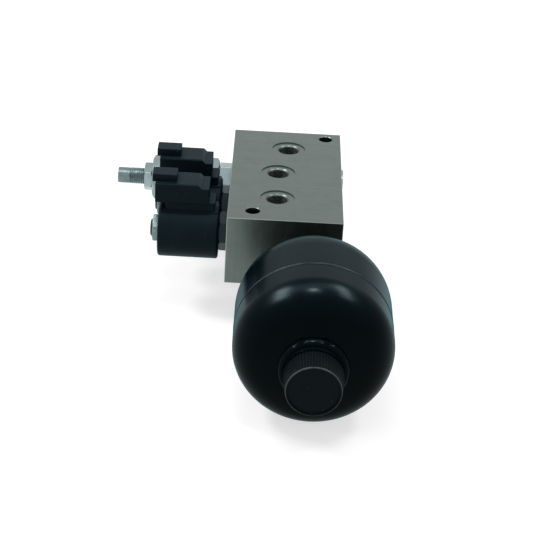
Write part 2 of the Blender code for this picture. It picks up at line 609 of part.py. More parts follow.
def solenoid_core(side, frame):
    """Make the tube, pole piece, armature, push pin, spool and return spring of one valve."""
    inside = TUBE_RADIUS - TUBE_WALL
    rounding = 1.0 * MM
    floor = TUBE_END - TUBE_END_WALL
    turned(f"{side}_guide_tube", [(0, floor), (inside, floor), (inside, TUBE_START), (TUBE_RADIUS, TUBE_START),
                                  (TUBE_RADIUS, TUBE_END - rounding), (TUBE_RADIUS - rounding, TUBE_END),
                                  (0, TUBE_END)], VALVE_STEPS, "dark_steel", frame)
    fitted = inside - SEAT_GAP
    hole = PIN_RADIUS + SEAT_GAP
    turned(f"{side}_pole_piece", [(hole, POLE_START), (fitted, POLE_START), (fitted, POLE_END),
                                  (hole, POLE_END)], SMALL_STEPS, "bright_steel", frame)
    turned(f"{side}_armature", [(0, ARMATURE_START), (fitted, ARMATURE_START), (fitted, ARMATURE_END),
                                (0, ARMATURE_END)], SMALL_STEPS, "bright_steel", frame)
    pin_start = SPOOL_END + SEAT_GAP
    pin_end = ARMATURE_START - SEAT_GAP
    turned(f"{side}_push_pin", [(0, pin_start), (PIN_RADIUS, pin_start), (PIN_RADIUS, pin_end), (0, pin_end)],
           SMALL_STEPS, "bright_steel", frame)
    waist_low = SPOOL_START + SPOOL_LOWER_LAND
    waist_high = SPOOL_END - SPOOL_UPPER_LAND
    hole_top = waist_low + 2 * SPOOL_WAIST_RADIUS
    spool = turned(f"{side}_spool", [
        (0, hole_top), (SPOOL_BORE_RADIUS, hole_top), (SPOOL_BORE_RADIUS, SPOOL_START), (SPOOL_RADIUS, SPOOL_START),
        (SPOOL_RADIUS, waist_low), (SPOOL_WAIST_RADIUS, waist_low), (SPOOL_WAIST_RADIUS, waist_high),
        (SPOOL_RADIUS, waist_high), (SPOOL_RADIUS, SPOOL_END), (0, SPOOL_END)], SMALL_STEPS, "bright_steel", frame)
    cut_across(spool, SPOOL_BORE_RADIUS, waist_low + SPOOL_WAIST_RADIUS, WINDOW_STEPS, frame, SPOOL_RADIUS)
    spring(f"{side}_return_spring", CARTRIDGE_BORE_RADIUS - 2 * SEAT_GAP - RETURN_SPRING_WIRE,
           RETURN_SPRING_WIRE, SPRING_FLOOR + SEAT_GAP, SPOOL_START - SEAT_GAP, RETURN_SPRING_TURNS,
           "bright_steel", frame)


def coil_moulding(side, frame):
    """Make the coil's black moulding: drum, pad, tower, connector with its mouth, and latch hood.

    In the valve's frame the drum lies along Z, local +X is up and Y runs along the block.
    """
    skin = COIL_RADIUS - COIL_SKIN
    bore = TUBE_RADIUS + SEAT_GAP
    edge = COIL_EDGE
    low, high = COIL_START, COIL_END
    moulding = turned(f"{side}_coil", [
        (bore, low), (COIL_RADIUS - edge, low), (COIL_RADIUS, low + edge), (COIL_RADIUS, high - edge),
        (COIL_RADIUS - edge, high), (bore, high), (bore, high - COIL_END_WALL), (skin, high - COIL_END_WALL),
        (skin, low + COIL_END_WALL), (bore, low + COIL_END_WALL)], COIL_STEPS, "black_moulding", frame)

    root = math.sqrt(COIL_RADIUS ** 2 - PAD_HALF_WIDTH ** 2) - SEAT_GAP
    pad_corners = [(root, y, z) for y, z in rounded_rectangle(
        PAD_HALF_WIDTH, low + PAD_START, high - PAD_END_SETBACK, CONNECTOR_CORNER)]
    pad = extruded(f"{side}_pad", pad_corners, (PAD_RISE - root, 0, 0), "black_moulding", frame)
    combine(moulding, pad, "UNION")

    mouth = high + CONNECTOR_OVERHANG
    heel = mouth - CONNECTOR_LENGTH
    tower_low = low + TOWER_START
    tower_high = high - TOWER_END_SETBACK
    inside = CONNECTOR_BOTTOM + WALL_OVERLAP
    tower_root = root - SEAT_GAP
    side_view = [(tower_root, tower_low), (TOWER_HEEL_RISE, tower_low),
                 (TOWER_HEEL_RISE + WALL_OVERLAP, heel + WALL_OVERLAP), (inside, heel + 2 * WALL_OVERLAP),
                 (inside, tower_high), (tower_root, tower_high)]
    tower = extruded(f"{side}_tower", [(x, -TOWER_HALF_WIDTH, z) for x, z in side_view],
                     (0, 2 * TOWER_HALF_WIDTH, 0), "black_moulding", frame)
    combine(moulding, tower, "UNION")

    section = rounded_rectangle(CONNECTOR_HALF_WIDTH, CONNECTOR_BOTTOM, CONNECTOR_TOP, CONNECTOR_CORNER)
    connector = extruded(f"{side}_connector", [(x, y, heel) for y, x in section], (0, 0, CONNECTOR_LENGTH),
                         "black_moulding", frame)
    shelf_top = CONNECTOR_TOP - SHELF_DROP
    slope_end = heel + SHELF_LENGTH + SHELF_SLOPE
    drop = [(CONNECTOR_TOP + WALL_OVERLAP, heel - WALL_OVERLAP), (shelf_top, heel - WALL_OVERLAP),
            (shelf_top, heel + SHELF_LENGTH), (CONNECTOR_TOP, slope_end), (CONNECTOR_TOP + WALL_OVERLAP, slope_end)]
    reach = CONNECTOR_HALF_WIDTH + WALL_OVERLAP
    combine(connector, extruded(f"{side}_shelf", [(x, -reach, z) for x, z in drop], (0, 2 * reach, 0),
                                "black_moulding", frame), "DIFFERENCE")
    combine(moulding, connector, "UNION")

    hood_front = mouth + HOOD_OVERHANG
    hood_section = rounded_rectangle(HOOD_HALF_WIDTH, CONNECTOR_TOP - CONNECTOR_WALL / 2,
                                     CONNECTOR_TOP + HOOD_RISE, CONNECTOR_CORNER / 2, steps=1)
    hood = extruded(f"{side}_hood", [(x, y, hood_front - HOOD_LENGTH) for y, x in hood_section],
                    (0, 0, HOOD_LENGTH), "black_moulding", frame)
    combine(moulding, hood, "UNION")
    slot_low = CONNECTOR_TOP + SEAT_GAP
    combine(moulding, block_between(f"{side}_hood_slot",
                                    (slot_low, -HOOD_SLOT_HALF_WIDTH, hood_front - HOOD_LENGTH - WALL_OVERLAP),
                                    (slot_low + HOOD_SLOT_HEIGHT, HOOD_SLOT_HALF_WIDTH, hood_front + WALL_OVERLAP),
                                    "black_moulding", frame), "DIFFERENCE")

    hollow = rounded_rectangle(CONNECTOR_HALF_WIDTH - CONNECTOR_WALL, CONNECTOR_BOTTOM + CONNECTOR_WALL,
                               CONNECTOR_TOP - CONNECTOR_WALL, CONNECTOR_CORNER / 2, steps=1)
    combine(moulding, extruded(f"{side}_mouth", [(x, y, mouth - MOUTH_DEPTH) for y, x in hollow],
                               (0, 0, MOUTH_DEPTH + WALL_OVERLAP), "black_moulding", frame), "DIFFERENCE")
    return moulding


def round_bar(name, x, y, radius, low, high, frame):
    """Make a round bar along the frame's Z that stands beside its axis."""
    points = [(x + radius * math.cos(math.tau * i / PIN_STEPS),
               y + radius * math.sin(math.tau * i / PIN_STEPS), low) for i in range(PIN_STEPS)]
    return extruded(name, points, (0, 0, high - low), "tin_plate", frame)


def contacts(side, moulding, frame):
    """Make the two connector pins and cut their sockets into the moulding."""
    mouth_floor = COIL_END + CONNECTOR_OVERHANG - MOUTH_DEPTH
    middle = (CONNECTOR_BOTTOM + CONNECTOR_TOP) / 2
    socket_floor = mouth_floor - CONTACT_ROOT
    for name, place in (("near", -CONTACT_SPREAD), ("far", CONTACT_SPREAD)):
        socket = round_bar(f"{side}_{name}_socket", middle, place, CONTACT_RADIUS + SEAT_GAP, socket_floor,
                           mouth_floor + WALL_OVERLAP, frame)
        combine(moulding, socket, "DIFFERENCE")
        round_bar(f"{side}_{name}_pin", middle, place, CONTACT_RADIUS, socket_floor + SEAT_GAP,
                  socket_floor + CONTACT_LENGTH, frame)


def coil_inside(side, frame):
    """Make the bobbin, the winding and the steel flux sleeve inside the moulding."""
    low = COIL_START + COIL_END_WALL + SEAT_GAP
    high = COIL_END - COIL_END_WALL - SEAT_GAP
    bore = TUBE_RADIUS + SEAT_GAP
    core = bore + BOBBIN_WALL
    sleeve_out = COIL_RADIUS - COIL_SKIN - SEAT_GAP
    sleeve_in = sleeve_out - FLUX_SLEEVE_WALL
    flange = sleeve_in - SEAT_GAP
    turned(f"{side}_coil_bobbin", [(bore, low), (flange, low), (flange, low + BOBBIN_FLANGE),
                                   (core, low + BOBBIN_FLANGE), (core, high - BOBBIN_FLANGE),
                                   (flange, high - BOBBIN_FLANGE), (flange, high), (bore, high)],
           SMALL_STEPS, "nylon", frame)
    wind_in = core + SEAT_GAP
    wind_out = min(wind_in + WINDING_THICKNESS, flange)
    wind_low = low + BOBBIN_FLANGE + SEAT_GAP
    wind_high = high - BOBBIN_FLANGE - SEAT_GAP
    turned(f"{side}_coil_winding", [(wind_in, wind_low), (wind_out, wind_low), (wind_out, wind_high),
                                    (wind_in, wind_high)], SMALL_STEPS, "copper_wire", frame)
    turned(f"{side}_flux_sleeve", [(sleeve_in, low), (sleeve_out, low), (sleeve_out, high), (sleeve_in, high)],
           VALVE_STEPS, "bright_steel", frame)


def ring_nut(name, flats, low, high, turn, bore, chamfer_low, chamfer_high, finish_name, frame):
    """Make a hexagonal nut with a plain bore."""
    nut = hexagon(name, flats, low, high, turn, finish_name, frame, chamfer_low, chamfer_high)
    outline = [(0, low - WALL_OVERLAP), (bore, low - WALL_OVERLAP), (bore, high + WALL_OVERLAP),
               (0, high + WALL_OVERLAP)]
    return combine(nut, turned(name + "_bore", outline, VALVE_STEPS, finish_name, frame), "DIFFERENCE")


def solenoid_valve(side, frame):
    """Make one whole solenoid valve on its axis."""
    solenoid_cartridge(side, frame)
    cartridge_seals(side, frame)
    solenoid_core(side, frame)
    moulding = coil_moulding(side, frame)
    contacts(side, moulding, frame)
    coil_inside(side, frame)
    ring_nut(f"{side}_coil_nut", COIL_NUT_FLATS, NUT_START, NUT_END, COIL_NUT_TURN, TUBE_RADIUS + SEAT_GAP,
             0.0, COIL_NUT_CHAMFER, "zinc_plate", frame)


def relief_valve(frame):
    """Make the relief valve: body, poppet, spring, spring seat, housing, adjusting screw and jam nut."""
    body = turned("relief_cartridge", shank_outline(RELIEF_HEX_TOP - WALL_OVERLAP), VALVE_STEPS, "zinc_plate",
                  frame)
    combine(body, hexagon("relief_hexagon", RELIEF_FLATS, HEX_FACE, RELIEF_HEX_TOP, RELIEF_HEX_TURN,
                          "zinc_plate", frame), "UNION")
    neck = [(0, RELIEF_HEX_TOP - WALL_OVERLAP), (RELIEF_NECK_RADIUS, RELIEF_HEX_TOP - WALL_OVERLAP),
            (RELIEF_NECK_RADIUS, NECK_TOP), (0, NECK_TOP)]
    combine(body, turned("relief_neck", neck, VALVE_STEPS, "zinc_plate", frame), "UNION")
    bore = [(0, CARTRIDGE_END - WALL_OVERLAP), (RELIEF_SEAT_RADIUS, CARTRIDGE_END - WALL_OVERLAP),
            (RELIEF_SEAT_RADIUS, POPPET_SEAT), (RELIEF_BORE_RADIUS, POPPET_SEAT),
            (RELIEF_BORE_RADIUS, NECK_TOP + WALL_OVERLAP), (0, NECK_TOP + WALL_OVERLAP)]
    combine(body, turned("relief_bore", bore, SMALL_STEPS, "zinc_plate", frame), "DIFFERENCE")
    cut_across(body, WINDOW_RADIUS, TANK_WINDOW, WINDOW_STEPS, frame, THREAD_RADIUS)
    cartridge_seals("relief", frame)

    tip = POPPET_START + POPPET_RADIUS
    turned("relief_poppet", [(0, POPPET_START), (RELIEF_SEAT_RADIUS, POPPET_START), (POPPET_RADIUS, tip),
                             (POPPET_RADIUS, POPPET_END), (SPRING_SPIGOT_RADIUS, POPPET_END),
                             (SPRING_SPIGOT_RADIUS, POPPET_END + SPRING_SPIGOT_LENGTH),
                             (0, POPPET_END + SPRING_SPIGOT_LENGTH)], SMALL_STEPS, "bright_steel", frame)
    coil_radius = SPRING_SPIGOT_RADIUS + SEAT_GAP + RELIEF_SPRING_WIRE
    spring("relief_spring", coil_radius, RELIEF_SPRING_WIRE, POPPET_END + SEAT_GAP, SEAT_FACE - SEAT_GAP,
           RELIEF_SPRING_TURNS, "bright_steel", frame)
    turned("relief_spring_seat", [(0, SEAT_FACE - SPRING_SPIGOT_LENGTH),
                                  (SPRING_SPIGOT_RADIUS, SEAT_FACE - SPRING_SPIGOT_LENGTH),
                                  (SPRING_SPIGOT_RADIUS, SEAT_FACE), (RELIEF_NECK_RADIUS, SEAT_FACE),
                                  (RELIEF_NECK_RADIUS, SEAT_TOP), (0, SEAT_TOP)],
           SMALL_STEPS, "bright_steel", frame)

    housing = hexagon("relief_housing", HOUSING_FLATS, HOUSING_START, HOUSING_END, HOUSING_TURN, "zinc_plate",
                      frame, HOUSING_CHAMFER, HOUSING_CHAMFER)
    socket = RELIEF_NECK_RADIUS + SEAT_GAP
    through = ADJUSTER_RADIUS + SEAT_GAP
    hollow = [(0, HOUSING_START - WALL_OVERLAP), (socket, HOUSING_START - WALL_OVERLAP),
              (socket, HOUSING_END - HOUSING_END_WALL), (through, HOUSING_END - HOUSING_END_WALL),
              (through, HOUSING_END + WALL_OVERLAP), (0, HOUSING_END + WALL_OVERLAP)]
    combine(housing, turned("relief_housing_bore", hollow, VALVE_STEPS, "zinc_plate", frame), "DIFFERENCE")

    edge = ADJUSTER_RADIUS - ADJUSTER_TIP_RADIUS
    screw = turned("adjusting_screw", [
        (0, ADJUSTER_START), (ADJUSTER_RADIUS, ADJUSTER_START), (ADJUSTER_RADIUS, ADJUSTER_THREAD_END - edge),
        (ADJUSTER_TIP_RADIUS, ADJUSTER_THREAD_END), (ADJUSTER_TIP_RADIUS, ADJUSTER_END - edge),
        (ADJUSTER_TIP_RADIUS - edge, ADJUSTER_END), (0, ADJUSTER_END)], VALVE_STEPS, "zinc_plate", frame)
    combine(screw, hexagon("adjuster_socket", ADJUSTER_SOCKET_FLATS, ADJUSTER_END - ADJUSTER_SOCKET_DEPTH,
                           ADJUSTER_END + WALL_OVERLAP, 0, "zinc_plate", frame), "DIFFERENCE")
    ring_nut("jam_nut", JAM_NUT_FLATS, JAM_NUT_START, JAM_NUT_END, JAM_NUT_TURN, ADJUSTER_RADIUS + SEAT_GAP,
             HEX_CHAMFER, HEX_CHAMFER, "zinc_plate", frame)


def check_valve(frame):
    """Make the check valve's poppet, spring and plug in the right face."""
    floor = -CHECK_CAVITY_DEPTH
    tip = floor + SEAT_GAP
    back = tip + CHECK_POPPET_LENGTH
    turned("check_poppet", [(0, tip), (CHECK_SEAT_RADIUS, tip),
                            (CHECK_POPPET_RADIUS, tip + CHECK_POPPET_RADIUS - CHECK_SEAT_RADIUS),
                            (CHECK_POPPET_RADIUS, back), (0, back)], SMALL_STEPS, "bright_steel", frame)
    plug_start = -CHECK_PLUG_LENGTH
    spring("check_spring", CHECK_POPPET_RADIUS - CHECK_SPRING_WIRE, CHECK_SPRING_WIRE, back + SEAT_GAP,
           plug_start - SEAT_GAP, CHECK_SPRING_TURNS, "bright_steel", frame)
    head_top = SEAT_GAP + CHECK_PLUG_HEAD
    plug = turned("check_plug", [(0, plug_start), (CHECK_CAVITY_RADIUS, plug_start),
                                 (CHECK_CAVITY_RADIUS, SEAT_GAP), (CHECK_PLUG_HEAD_RADIUS, SEAT_GAP),
                                 (CHECK_PLUG_HEAD_RADIUS, head_top - SEAT_GAP),
                                 (CHECK_PLUG_HEAD_RADIUS - SEAT_GAP, head_top), (0, head_top)],
                  VALVE_STEPS, "zinc_plate", frame)
    combine(plug, hexagon("check_plug_socket", CHECK_PLUG_SOCKET_FLATS, head_top - CHECK_PLUG_SOCKET_DEPTH,
                          head_top + WALL_OVERLAP, 0, "zinc_plate", frame), "DIFFERENCE")


def dome(radius, tangent, knuckle, crown, stops, towards):
    """Return (radius, height) points of a dome from its cylinder inwards over the stop radii.

    The knuckle is an arc that leaves the cylinder at the tangent height; the crown is a sphere cap that
    touches it, with its centre on the axis. towards is +1 for a dome that ends upwards, -1 downwards.
    """
    offset = radius - knuckle
    sink = math.sqrt((crown - knuckle) ** 2 - offset ** 2)
    join = math.degrees(math.atan2(sink, offset))
    points = arc(offset, 0, knuckle, 0, join, KNUCKLE_STEPS)
    points += [(stop, math.sqrt(crown ** 2 - stop ** 2) - sink) for stop in stops]
    return [(r, tangent + towards * h) for r, h in points]


def crown_height(radius, tangent, knuckle, crown, at_radius, towards):
    """Return the height of a dome's crown at a radius."""
    sink = math.sqrt((crown - knuckle) ** 2 - (radius - knuckle) ** 2)
    return tangent + towards * (math.sqrt(crown ** 2 - at_radius ** 2) - sink)


def fluid_dome(inset, *stops):
    """Return the fluid half's dome, at the shell's outside or inset from it."""
    return dome(SHELL_RADIUS - inset, REAR_TANGENT, REAR_KNUCKLE_RADIUS - inset, REAR_CROWN_RADIUS - inset,
                stops, -1)


def gas_dome(inset, *stops):
    """Return the gas half's dome, at the shell's outside or inset from it."""
    return dome(SHELL_RADIUS - inset, FRONT_TANGENT, FRONT_KNUCKLE_RADIUS - inset, FRONT_CROWN_RADIUS - inset,
                stops, 1)


def rebate_radius():
    """Return the radius of the rebate that holds the clamp ring and the bead."""
    return SHELL_RADIUS - SHELL_WALL + REBATE_DEPTH


def half_shell(name, outside, inside, towards, rebate_end, frame):
    """Make one half of the accumulator's shell from its outer and inner dome points.

    towards is the side of the seam that the half lies on, -1 for the fluid half and +1 for the gas half.
    """
    seam = SEAM_PLACE + towards * SEAT_GAP / 2
    lip = seam + towards * SEAM_GROOVE_WIDTH
    outline = list(reversed(outside))
    outline += [(SHELL_RADIUS, lip), (SHELL_RADIUS - SEAM_GROOVE, seam), (rebate_radius(), seam),
                (rebate_radius(), rebate_end), (SHELL_RADIUS - SHELL_WALL, rebate_end)]
    outline += inside
    return turned(name, outline, SHELL_STEPS, "black_paint", frame)


def diaphragm(bead_low, bead_high, middle_low, frame):
    """Make the rubber diaphragm against the fluid half: bead, bowl and a flat middle over the button."""
    outer = SHELL_WALL + 2 * SEAT_GAP
    inner = outer + DIAPHRAGM_THICKNESS
    bead_out = rebate_radius() - SEAT_GAP
    bead_in = bead_out - BEAD_THICKNESS
    outline = [(DIAPHRAGM_HOLE_RADIUS, middle_low)]
    outline += reversed(fluid_dome(outer, DIAPHRAGM_FLAT_RADIUS))
    outline += [(SHELL_RADIUS - outer, bead_low), (bead_out, bead_low), (bead_out, bead_high),
                (bead_in, bead_high), (bead_in, bead_low)]
    outline += fluid_dome(inner, DIAPHRAGM_FLAT_RADIUS)
    outline += [(DIAPHRAGM_HOLE_RADIUS, middle_low + DIAPHRAGM_THICKNESS)]
    return turned("accumulator_diaphragm", outline, SHELL_STEPS, "rubber", frame)


def accumulator(frame):
    """Make the accumulator: stem, two shell halves, diaphragm, clamp ring, boss, charging screw, cap."""
    ring_out = rebate_radius() - SEAT_GAP
    ring_in = ring_out - RING_THICKNESS
    ring_low = SEAM_PLACE - RING_HALF_WIDTH
    ring_high = SEAM_PLACE + RING_HALF_WIDTH
    bead_high = ring_low - SEAT_GAP
    bead_low = bead_high - BEAD_WIDTH

    hole = STEM_NECK_RADIUS + SEAT_GAP
    half_shell("accumulator_fluid_shell", fluid_dome(0, DIAPHRAGM_FLAT_RADIUS, hole),
               fluid_dome(SHELL_WALL, DIAPHRAGM_FLAT_RADIUS, hole), -1, bead_low - SEAT_GAP, frame)
    boss_hole = BOSS_HOLE_RADIUS + SEAT_GAP
    half_shell("accumulator_gas_shell", gas_dome(0, boss_hole), gas_dome(SHELL_WALL, boss_hole), 1,
               ring_high + SEAT_GAP, frame)
    turned("diaphragm_clamp_ring", [(ring_in, ring_low), (ring_out, ring_low), (ring_out, ring_high),
                                    (ring_in, ring_high)], SHELL_STEPS, "bright_steel", frame)

    pole = crown_height(SHELL_RADIUS - SHELL_WALL, REAR_TANGENT, REAR_KNUCKLE_RADIUS - SHELL_WALL,
                        REAR_CROWN_RADIUS - SHELL_WALL, STEM_NECK_RADIUS, -1)
    stem_top = pole
    hex_end = HEX_FACE + STEM_HEX_LENGTH
    stem = turned("accumulator_stem", [
        (0, -STEM_THREAD_LENGTH), (STEM_THREAD_RADIUS, -STEM_THREAD_LENGTH), (STEM_THREAD_RADIUS, hex_end / 2),
        (STEM_NECK_RADIUS, hex_end / 2), (STEM_NECK_RADIUS, stem_top), (0, stem_top)],
        VALVE_STEPS, "black_paint", frame)
    combine(stem, hexagon("stem_hexagon", STEM_FLATS, HEX_FACE, hex_end, STEM_HEX_TURN, "black_paint", frame,
                          chamfer_high=HEX_CHAMFER), "UNION")
    bore = [(0, -STEM_THREAD_LENGTH - WALL_OVERLAP), (STEM_BORE_RADIUS, -STEM_THREAD_LENGTH - WALL_OVERLAP),
            (STEM_BORE_RADIUS, stem_top - STEM_SEAT_DEPTH), (STEM_SEAT_RADIUS, stem_top),
            (STEM_SEAT_RADIUS, stem_top + WALL_OVERLAP), (0, stem_top + WALL_OVERLAP)]
    combine(stem, turned("stem_bore", bore, VALVE_STEPS, "black_paint", frame), "DIFFERENCE")
    seal_ring("accumulator_stem_seal", STEM_THREAD_RADIUS + SEAT_GAP + SEAL_SECTION_RADIUS,
              -STEM_SEAL_DEPTH / 2, SEAL_SECTION_RADIUS, VALVE_STEPS, frame)

    button_low = stem_top + SEAT_GAP
    button_top = button_low + BUTTON_THICKNESS
    spigot = DIAPHRAGM_HOLE_RADIUS - SEAT_GAP
    turned("diaphragm_button", [(0, button_low), (BUTTON_RADIUS, button_low), (BUTTON_RADIUS, button_top),
                                (spigot, button_top), (spigot, button_top + BUTTON_SPIGOT_LENGTH),
                                (0, button_top + BUTTON_SPIGOT_LENGTH)], VALVE_STEPS, "bright_steel", frame)
    diaphragm(bead_low, bead_high, button_top + SEAT_GAP, frame)
    gas_end(frame)


def gas_crown(inset, radius):
    """Return the height of the gas half's crown at a radius."""
    return crown_height(SHELL_RADIUS - inset, FRONT_TANGENT, FRONT_KNUCKLE_RADIUS - inset,
                        FRONT_CROWN_RADIUS - inset, radius, 1)


def gas_end(frame):
    """Make the welded boss, the charging screw with its seal, and the protective cap."""
    hole_edge = gas_crown(0, BOSS_HOLE_RADIUS) + SEAT_GAP
    collar_edge = gas_crown(0, BOSS_COLLAR_RADIUS) + SEAT_GAP
    boss_low = gas_crown(SHELL_WALL, BOSS_HOLE_RADIUS) - BOSS_INNER_LENGTH
    collar_top = collar_edge + BOSS_LENGTH
    neck_top = collar_top + BOSS_NECK_LENGTH
    charge_bore = CHARGE_RADIUS + SEAT_GAP
    charge_floor = neck_top - CHARGE_LENGTH - CHARGE_SEAL_WIDTH - SEAT_GAP
    turned("gas_boss", [
        (GAS_BORE_RADIUS, boss_low), (BOSS_HOLE_RADIUS, boss_low), (BOSS_HOLE_RADIUS, hole_edge),
        (BOSS_COLLAR_RADIUS, collar_edge), (BOSS_COLLAR_RADIUS, collar_edge + BOSS_COLLAR_EDGE),
        ((BOSS_COLLAR_RADIUS * 2 + BOSS_SHOULDER_RADIUS) / 3, collar_edge + BOSS_SHOULDER_HEIGHT * 0.65),
        (BOSS_SHOULDER_RADIUS, collar_edge + BOSS_SHOULDER_HEIGHT), (BOSS_SHOULDER_RADIUS, collar_top),
        (BOSS_NECK_RADIUS, collar_top), (BOSS_NECK_RADIUS, neck_top),
        (charge_bore, neck_top), (charge_bore, charge_floor), (GAS_BORE_RADIUS, charge_floor)],
        COIL_STEPS, "black_paint", frame)
    turned("charging_screw_seal", [
        (CHARGE_RADIUS - 2 * CHARGE_SEAL_WIDTH, charge_floor + SEAT_GAP), (CHARGE_RADIUS, charge_floor + SEAT_GAP),
        (CHARGE_RADIUS, charge_floor + CHARGE_SEAL_WIDTH),
        (CHARGE_RADIUS - 2 * CHARGE_SEAL_WIDTH, charge_floor + CHARGE_SEAL_WIDTH)], VALVE_STEPS, "rubber", frame)
    screw_low = charge_floor + CHARGE_SEAL_WIDTH + SEAT_GAP
    screw_high = screw_low + CHARGE_LENGTH
    screw = turned("charging_screw", [(0, screw_low), (CHARGE_RADIUS, screw_low), (CHARGE_RADIUS, screw_high),
                                      (0, screw_high)], VALVE_STEPS, "zinc_plate", frame)
    combine(screw, hexagon("charging_socket", CHARGE_SOCKET_FLATS, screw_high - CHARGE_SOCKET_DEPTH,
                           screw_high + WALL_OVERLAP, 0, "zinc_plate", frame), "DIFFERENCE")
    protective_cap(collar_top + SEAT_GAP, frame)


def ring_of(radius, height, rib_depth=0.0):
    """Return one ring of the cap's points; with a rib depth every second point lies deeper."""
    count = 2 * CAP_RIBS
    points = []
    for i in range(count):
        reach = radius - (rib_depth if i % 2 else 0.0)
        points.append((reach * math.cos(math.tau * i / count), reach * math.sin(math.tau * i / count), height))
    return points


def protective_cap(low, frame):
    """Make the ribbed cap: tapered ribs, a plain end with a raised rim, hollow from below."""
    high = low + CAP_LENGTH
    rib_high = high - 2 * CAP_RIM
    plain = CAP_END_RADIUS - CAP_RIB_DEPTH / 2
    rim_in = plain - CAP_RIM
    bore = BOSS_NECK_RADIUS + SEAT_GAP
    ceiling = high - CAP_RIM - CAP_WALL
    outline = [ring_of(bore, ceiling), ring_of(bore, low), ring_of(CAP_BASE_RADIUS, low, CAP_RIB_DEPTH),
               ring_of(CAP_END_RADIUS, rib_high, CAP_RIB_DEPTH), ring_of(plain, rib_high),
               ring_of(plain, high - CAP_RIM / 2), ring_of(plain - CAP_RIM / 2, high), ring_of(rim_in, high),
               ring_of(rim_in, high - CAP_RIM)]
    bm = bmesh.new()
    rings = [[bm.verts.new(point) for point in ring] for ring in outline]
    for lower, upper in zip(rings, rings[1:]):
        for i, corner in enumerate(lower):
            bm.faces.new((corner, lower[i - 1], upper[i - 1], upper[i]))
    bm.faces.new(rings[0])
    bm.faces.new(rings[-1])
    return keep("protective_cap", bm, "cap_plastic", frame, smooth_angle=20)


def main():
    """Clear the scene and build the whole valve block."""
    for old in list(bpy.data.objects):
        bpy.data.objects.remove(old)

    left = -BLOCK_WIDTH / 2
    frames = {
        "front": axis_frame("front_valve_axis", (left, FRONT_VALVE_Y, VALVE_HEIGHT), (-1, 0, 0)),
        "rear": axis_frame("rear_valve_axis", (left, REAR_VALVE_Y, VALVE_HEIGHT), (-1, 0, 0)),
        "relief": axis_frame("relief_valve_axis", (left, RELIEF_VALVE_Y, VALVE_HEIGHT), (-1, 0, 0)),
        "check": axis_frame("check_valve_axis", (BLOCK_WIDTH / 2, REAR_PORT[1], VALVE_HEIGHT), (1, 0, 0)),
        "accumulator": axis_frame("accumulator_axis", (ACCUMULATOR_X, -BLOCK_DEPTH / 2, ACCUMULATOR_HEIGHT),
                                  (0, -1, 0)),
    }
    manifold_block(frames)
    solenoid_valve("front", frames["front"])
    solenoid_valve("rear", frames["rear"])
    relief_valve(frames["relief"])
    check_valve(frames["check"])
    accumulator(frames["accumulator"])
    bpy.context.view_layer.update()


main()
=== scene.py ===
"""Looks of the pilot valve block: manifold, two solenoid valves, relief valve and accumulator.

Lengths are in millimetres until a form is placed, and in metres in the finished meshes. Each valve and
the accumulator has an axis that leaves the block: heights along it are positive outside the block.
"""
from __future__ import annotations

import json
import logging
import math
from dataclasses import dataclass, field
from enum import Enum
from typing import Mapping, Optional, Sequence, Union

import bmesh
import bpy
import numpy as np
from mathutils import Euler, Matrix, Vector

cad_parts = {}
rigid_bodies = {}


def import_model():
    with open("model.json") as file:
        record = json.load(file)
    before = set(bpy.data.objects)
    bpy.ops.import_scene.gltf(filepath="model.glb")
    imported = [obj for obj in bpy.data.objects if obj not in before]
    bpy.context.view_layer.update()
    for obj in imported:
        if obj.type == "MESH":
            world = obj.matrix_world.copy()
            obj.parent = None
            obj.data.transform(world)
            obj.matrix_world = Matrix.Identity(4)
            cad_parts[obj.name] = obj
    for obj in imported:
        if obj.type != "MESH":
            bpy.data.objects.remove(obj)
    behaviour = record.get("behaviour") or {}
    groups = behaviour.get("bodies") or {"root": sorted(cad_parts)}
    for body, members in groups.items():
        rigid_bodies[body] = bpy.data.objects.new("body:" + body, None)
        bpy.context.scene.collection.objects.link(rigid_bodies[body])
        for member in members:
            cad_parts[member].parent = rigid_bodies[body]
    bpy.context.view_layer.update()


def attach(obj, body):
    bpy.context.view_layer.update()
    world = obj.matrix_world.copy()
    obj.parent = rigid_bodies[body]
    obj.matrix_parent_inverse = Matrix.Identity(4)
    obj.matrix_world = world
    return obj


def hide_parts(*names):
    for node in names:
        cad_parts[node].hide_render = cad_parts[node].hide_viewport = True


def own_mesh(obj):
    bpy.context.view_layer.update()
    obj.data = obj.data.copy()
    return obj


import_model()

MM = 0.001
GAP = 0.3             # between pieces that seat on or in each other
PAST_FACE = 1.0       # how far a cutter runs past the face that it opens
SEAL_SECTION = 0.7    # radius of a seal's round section
CHAMFER_SLOPE = 0.6   # rise of a hexagon's chamfer for its width
SHARP_TURN = 14.0     # corners of a profile that turn less, in degrees, keep their single point
BAR_POINTS = 24       # points round the section of a rounded bar
WELD_DISTANCE = 2e-6  # metres; points of a mesh that lie closer are joined

Array = np.ndarray
Triple = tuple[float, float, float]
Row = tuple[Union[float, Array], Union[float, Array]]

logging.basicConfig(level=logging.INFO, format="%(name)s: %(message)s")
LOG = logging.getLogger("valve_block")


# Places and forms


@dataclass(frozen=True)
class Axis:
    """Where a piece stands: an origin in millimetres and the directions of its own x, y and z."""

    origin: Triple
    x: Triple = (1.0, 0.0, 0.0)
    y: Triple = (0.0, 1.0, 0.0)
    z: Triple = (0.0, 0.0, 1.0)

    def place(self, points: Array) -> Array:
        """Carry local points to the row frame: the origin plus each coordinate times its direction.

        Args:
            points: Local points in millimetres, one to a row.

        Returns:
            The same points in metres.
        """
        return (np.array(self.origin) + points @ np.array([self.x, self.y, self.z])) * MM


WORLD = Axis((0.0, 0.0, 0.0))


